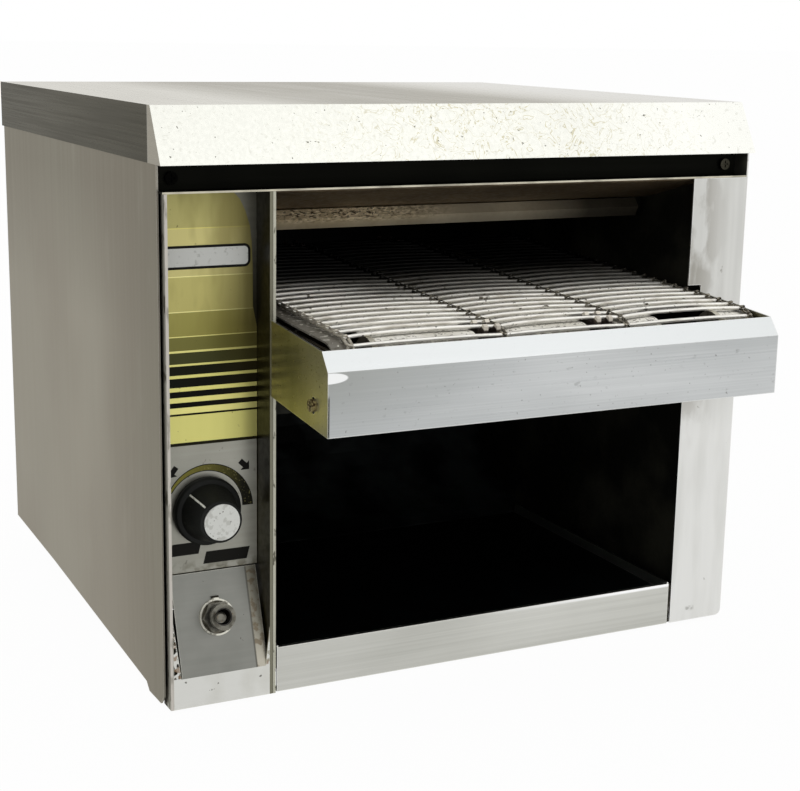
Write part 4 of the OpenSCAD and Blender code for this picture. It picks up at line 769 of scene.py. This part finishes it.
# Edges painted light: wear and painted highlight.
edge_wear_and_highlight(tree, shader, "#dddccf", 0.8, 0.7)
dress(bracket_steel, "switch_bracket")


# ---------------------------------------------------------------- labels and print
# Two foil labels: a gold one with stripes that thicken towards the bottom, and a silver one
# with a curved scale and two arrows round the knob. Neither carries any words.

# Gold metallised foil, printed in black and olive ink: satin, with fine vertical streaks.
# The print is a stack of inked bands that grow paler upwards, with lines of bare gold between
# them. Each entry is the height in millimetres at which a tone begins.
gold_foil, tree, shader = new_finish("printed_gold_foil", "#8d853b", 0.55, 0.36, 0.1)
bands = [(140, "#1d1c12"), (142.4, "#dfda84"), (157.4, "#14140d"), (158.4, "#eee892"),
         (161.8, "#0e0f0b"), (164.5, "#ece68e"), (167.0, "#0f100c"), (170.2, "#e9e38a"),
         (172.4, "#14150f"), (177.4, "#e9e38a"), (179.3, "#1c1d13"), (183.9, "#ebe58e"),
         (185.3, "#46472a"), (191.4, "#efe994"), (192.5, "#7a7742"), (199.2, "#efe994"),
         (200.0, "#9a9452"), (212.5, "#f4eea4"), (213.1, "#beb672"), (231.1, "#f4eea4"),
         (231.7, "#cbc282"), (256.0, "#dcd37c"), (256.5, "#b1aa6e")]
ramp_low, ramp_span = 140, 140
ramp = add(tree, "ShaderNodeValToRGB",
           {"Fac": along(tree, "Z", ramp_low, ramp_low + ramp_span)})
ramp.color_ramp.interpolation = "CONSTANT"
ramp.color_ramp.elements.remove(ramp.color_ramp.elements[1])
ramp.color_ramp.elements[0].color = hex_colour(bands[0][1])
for level, colour in bands[1:]:
    stop = ramp.color_ramp.elements.new((level - ramp_low) / ramp_span)
    stop.color = hex_colour(colour)
tree.links.new(ramp.outputs["Color"], shader.inputs["Base Color"])
upper = along(tree, "Z", 196, 215)
# Painted shade darkens the foil towards the right, most between 175 and 205 mm up.
coat(tree, shader, "#3a3013", along(tree, "X", 26, 56), along(tree, "Z", 175, 205), 0.8)
coat(tree, shader, "#3a3013", along(tree, "X", 30, 56), 0.25)
coat(tree, shader, "#6b6130", upper, patches(tree, (90, 90, 30), 0.35, 0.1, 2.0), 0.4)
coat(tree, shader, "#f0e89a", texture(tree, (420, 420, 9), 3.0), upper, 0.12)
coat(tree, shader, "#3a3520", patches(tree, 300, 0.01, 0.02, 3.0, 2.0), 0.6)
feel(tree, shader, texture(tree, (420, 420, 9), 3.0), (0.3, 0.42), 0.004)
dress(gold_foil, "upper_label")

silver_foil, tree, shader = sheet_steel("printed_silver_foil", "#adaca2", "#96958b",
                                        (9, 300, 300), 30, (0.32, 0.44), 0.001, 0.6)
shader.inputs["Specular IOR Level"].default_value = 0.2
coat(tree, shader, "#4d493c", patches(tree, 260, 0.03, 0.03, 4.0, 2.6), 0.5)
coat(tree, shader, "#6f6c5e", along(tree, "Z", 78, 70), patches(tree, 160, 0.5, 0.08))
dress(silver_foil, "lower_label")

knob_axis = np.array(joints["speed_knob_turn"]["pos_m"])
label_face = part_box("lower_label")[0].y


def printed(name, outline_xz, thickness, material):
    """A flat print on a label: the outline, given as X and Z in metres from the knob's axis
    in order round the edge, lifted by its thickness, with side walls down to the label."""
    outline = np.asarray(outline_xz, float)
    count = len(outline)
    front = np.stack([knob_axis[0] + outline[:, 0], np.full(count, label_face - thickness),
                      knob_axis[2] + outline[:, 1]], -1)
    back = front + (0, thickness, 0)
    ring = np.arange(count)
    following = np.roll(ring, -1)
    walls = np.stack([ring, ring + count, following + count, following], -1)
    faces = [ring.tolist(), (ring[::-1] + count).tolist()] + walls.tolist()
    piece = new_piece(name, np.concatenate([front, back]), faces, material, smooth=False)


def scale_band(grow):
    """Crescent round the knob: from 1 degree on the right to 149 on the left, its outer radius
    shrinks from 27 to 23 mm while the inner one stays near 22; grow widens it."""
    angle = np.radians(np.linspace(1 - grow * 2.4, 149 + grow * 2.4, 60))
    share = np.linspace(0, 1, 60)
    outer = (26.9 - 3.6 * share ** 1.1 + grow) / 1000
    inner = (21.6 + 0.6 * share - grow) / 1000
    edge = np.concatenate([outer, inner[::-1]])
    turn = np.concatenate([angle, angle[::-1]])
    return np.stack([edge * np.cos(turn), edge * np.sin(turn)], -1)


# Screen-printed inks lie 0.05 mm thick on the foil, with pinholes 1 mm apart. A second print
# lies on the first.
ink_film = 0.00005
black_ink, tree, shader = new_finish("black_screen_ink", "#14130f", 0.0, 0.45, 0.1)
coat(tree, shader, "#6b6a60", patches(tree, 1000, 0.02, 0.03), 0.4)
feel(tree, shader, texture(tree, 1400), (0.4, 0.55), 0.01)
scale_ink, tree, shader = new_finish("olive_scale_ink", "#8d8740", 0.2, 0.42, 0.1)
coat(tree, shader, "#1c1b12", along(tree, "X", 10, 48))
coat(tree, shader, "#a39d63", patches(tree, 900, 0.1, 0.03), 0.4)
feel(tree, shader, texture(tree, 1400), (0.38, 0.5), 0.01)
printed("printed_scale_outline", scale_band(0.45), ink_film, black_ink)
printed("printed_scale", scale_band(0.0), 2 * ink_film, scale_ink)


def arrow(tip, direction, size):
    """Block arrow: a triangle head on a square shaft, its tip at a point and turned to a
    direction in degrees; sizes in millimetres."""
    shape = np.array([(0, 0), (-0.55, 0.55), (-0.55, 0.24), (-1.15, 0.24), (-1.15, -0.24),
                      (-0.55, -0.24), (-0.55, -0.55)]) * size
    turn = math.radians(direction)
    turned = shape @ np.array([[math.cos(turn), math.sin(turn)],
                               [-math.sin(turn), math.cos(turn)]])
    return (turned + np.asarray(tip)) / 1000


printed("printed_arrow_left", arrow((-20.6, 19.6), 232, 6.2), ink_film, black_ink)
printed("printed_arrow_right", arrow((25.2, 20.0), -44, 6.4), ink_film, black_ink)


def slanted_bar(left, right, low, high, lean):
    """Parallelogram with its upper side shifted by the lean; millimetres from the knob's axis."""
    return np.array([(left, low), (right, low), (right + lean, high), (left + lean, high)]) / 1000


# Two plain slanted bars at the foot of the silver label.
printed("printed_bar_upper", slanted_bar(-20.6, -4.2, -24.4, -17.6, 1.6), ink_film, black_ink)
printed("printed_bar_lower", slanted_bar(-1.6, 23.6, -30.6, -23.8, 1.8), ink_film, black_ink)


def name_field(inset):
    """Blank field across the gold label, its right corners rounded to a radius of 3.6 mm; the
    inset draws it smaller on three sides, so that an outline is left there."""
    left, right, low, high = -24.2, 26.3 - inset, 130.9 + inset, 143.3 - inset
    round_off = np.radians(np.linspace(0, 90, 10))
    radius = 3.6 - inset
    upper = np.stack([right - radius + radius * np.cos(round_off),
                      high - radius + radius * np.sin(round_off)], -1)
    lower = np.stack([right - radius + radius * np.sin(round_off),
                      low + radius - radius * np.cos(round_off)], -1)
    return np.concatenate([[(left, high), (left, low)], lower, upper]) / 1000


blank_ink, tree, shader = new_finish("silver_white_screen_ink", "#cfd0cc", 0.2, 0.45, 0.2)
coat(tree, shader, "#b1b2ad", patches(tree, 300, 0.12, 0.05))
feel(tree, shader, texture(tree, 1400), (0.4, 0.55), 0.01)
printed("printed_field_outline", name_field(0.0), ink_film, black_ink)
printed("printed_field", name_field(1.4), 2 * ink_film, blank_ink)


# ---------------------------------------------------------------- speed control and knob
# Moulded phenolic knob, black and satin with rubbed high spots, with a spun aluminium cap and
# a white pointer line. It is pushed onto the steel shaft of the control.

phenolic, tree, shader = new_finish("black_phenolic_knob", "#151614", 0.0, 0.5, 0.15)
coat(tree, shader, "#1d1e1b", patches(tree, 140, 0.3, 0.1), 0.6)
coat(tree, shader, "#5b5a52", patches(tree, 500, 0.01, 0.02, 3.0), 0.5)
feel(tree, shader, texture(tree, 1300), (0.45, 0.6), 0.01)
dress(phenolic, "speed_knob")

spun_cap, tree, shader = new_finish("spun_aluminium_cap", "#cbccc7", 0.7, 0.36)
coat(tree, shader, "#a9a9a2", patches(tree, 260, 0.22, 0.03, 5.0), 0.6)
coat(tree, shader, "#55534a", patches(tree, 700, 0.05, 0.015, 3.0, 2.0), 0.8)
feel(tree, shader, texture(tree, (900, 900, 60)), (0.3, 0.45), 0.01)
dress(spun_cap, "knob_cap")

white_paint, tree, shader = new_finish("white_pointer_paint", "#dcdcd2", 0.0, 0.5)
coat(tree, shader, "#8f8e84", patches(tree, 900, 0.2, 0.05))
dress(white_paint, "knob_pointer")

control_metal, tree, shader = new_finish("brass_and_steel_control", "#8b8674", 0.9, 0.4)
coat(tree, shader, "#5c5848", patches(tree, 300, 0.3, 0.08))
feel(tree, shader, texture(tree, 1200), (0.34, 0.5), 0.01)
dress(control_metal, "speed_control", "speed_shaft")


# ---------------------------------------------------------------- power switch
# Toggle switch with a nickel-plated bushing, washer and nuts, corroded brown in the creases.
# The washer's rim round the nut is painted bright, for rubbing and as painted highlight, and
# beyond 10.8 mm the washer and its tab are painted black as shade.

plated, tree, shader = new_finish("worn_nickel_plating", "#77756c", 1.0, 0.4)
coat(tree, shader, "#3f3c34", patches(tree, 300, 0.35, 0.08), 0.6)
coat(tree, shader, "#6b5334", patches(tree, 600, 0.05, 0.03, 4.0, 3.0), 0.6)
# Edges painted light: wear and painted highlight.
edge_wear_and_highlight(tree, shader, "#a5a398", 0.3, 0.6)
feel(tree, shader, texture(tree, 1500, 4.0), (0.28, 0.5), 0.03)
dress(plated, "switch_nut", "switch_lever")

washer_metal, tree, shader = new_finish("dirty_washer_steel", "#5d594f", 1.0, 0.34)
coat(tree, shader, "#35322a", patches(tree, 300, 0.35, 0.06))
pivot = joints["power_switch_toggle"]["pos_m"]
upward = joints["power_switch_toggle"]["axis"]
bore = (0, -upward[2], upward[1])
# Painted highlight and wear on the rim; painted shade beyond 10.8 mm.
rim = times(tree, from_axis(tree, pivot, bore, 8.9, 9.1), from_axis(tree, pivot, bore, 10.6, 10.4))
coat(tree, shader, "#d2d0c4", rim, spread(tree, texture(tree, 240), 0.4, 0.5, 0.3, 1))
coat(tree, shader, "#26241e", from_axis(tree, pivot, bore, 10.6, 10.8))
feel(tree, shader, texture(tree, 1200), (0.25, 0.45), 0.02)
dress(washer_metal, "switch_washer")

switch_body, tree, shader = new_finish("switch_bakelite_and_steel", "#383631", 0.4, 0.45)
coat(tree, shader, "#24221e", patches(tree, 250, 0.3, 0.08))
feel(tree, shader, texture(tree, 900), (0.38, 0.55), 0.02)
dress(switch_body, "power_switch")


# ---------------------------------------------------------------- electrics and fan
# Speed control board, terminal block, cooling fan with its wire guard, and the cord gland.
# They stand behind the control box or on the rear panel and carry little more than dust.

# Green solder mask over glass fibre, with darker tracks 2 mm apart and pale dust.
board, tree, shader = new_finish("solder_mask_board", "#1f5a35", 0.0, 0.35, 0.3)
coat(tree, shader, "#17482a", patches(tree, (30, 480, 90), 0.45, 0.015, 1.0))
coat(tree, shader, "#8f9a86", patches(tree, 200, 0.2, 0.1), 0.3)
dress(board, "control_board")

melamine, tree, shader = new_finish("moulded_terminal_plastic", "#d4d0c3", 0.0, 0.45)
coat(tree, shader, "#b9b2a0", patches(tree, 150, 0.3, 0.1))
feel(tree, shader, texture(tree, 1500), (0.4, 0.55), 0.01)
dress(melamine, "terminal_block")

fan_plastic, tree, shader = new_finish("glass_filled_fan_plastic", "#1a1a1a", 0.0, 0.5, 0.25)
coat(tree, shader, "#3a3733", patches(tree, 90, 0.35, 0.1), 0.5)
feel(tree, shader, texture(tree, 1800), (0.42, 0.6), 0.012)
dress(fan_plastic, "fan_frame", "fan_rotor", "cord_gland")

guard_wire, tree, shader = new_finish("plated_guard_wire", "#b5b3ad", 1.0, 0.28)
coat(tree, shader, "#827e74", patches(tree, 200, 0.25, 0.08))
feel(tree, shader, texture(tree, 900), (0.22, 0.4), 0.006)
dress(guard_wire, "fan_guard")


# ---------------------------------------------------------------- lid
# One folded stainless sheet: flat top, side and rear flanges and the slanted hood at the
# front. The hood is polished almost white, with faint etched marks where grease has dried.

lid_steel, tree, shader = sheet_steel("stainless_lid", "#fafaf6", "#e8e6e0",
                                      (500, 6, 500), (5, 2, 5), (0.22, 0.36))
top_face = facing(tree, (0, 0, 1))
# Painted reflection on the top: darker in the middle, streaked with paler blobs, white at the
# right end.
middle_band = times(tree, along(tree, "X", 60, 110), along(tree, "X", 300, 220))
coat(tree, shader, "#a39f93", top_face, middle_band, 0.9)
blobs = patches(tree, (22, 5, 22), 0.4, 0.1, 2.0, 5.5)
coat(tree, shader, "#d8d6cf", top_face, blobs, 0.35)
coat(tree, shader, "#ffffff", top_face, along(tree, "X", 240, 330), 0.9)
hood = facing(tree, (0, -0.88, 0.48), 0.9, 0.97)
coat(tree, shader, "#e6e6de", hood)
# Painted highlight at the hood's right end.
coat(tree, shader, "#f8f8f2", hood, along(tree, "X", 240, 320), 0.8)
field = times(tree, along(tree, "X", 60, 150), along(tree, "X", 350, 240))
contour = texture(tree, 90, 2.0, 2.0, 1.8)
line = maths(tree, "COMPARE", contour, 0.5, 0.012)
coat(tree, shader, "#b7ae84", hood, field, line, 0.6)
coat(tree, shader, "#c9c8bd", hood, patches(tree, 330, 0.06, 0.02, 3.0, 1.0), 0.35)
coat(tree, shader, "#4e4b40", hood, patches(tree, 500, 0.012, 0.01, 2.0, 8.0), 0.8)
wedge = along(tree, "Y", 16.2, 15.4)
# Painted shade on the left side flange behind the front wedge.
side_flange = times(tree, facing(tree, (-1, 0, 0)), less(tree, wedge))
coat(tree, shader, "#a19d93", facing(tree, (-1, 0, 0)), wedge)
coat(tree, shader, "#282720", side_flange, 0.98)
coat(tree, shader, "#4f4d45", side_flange, patches(tree, (12, 7, 30), 0.4, 0.15, 2.0), 0.3)
dress(lid_steel, "top_cover")
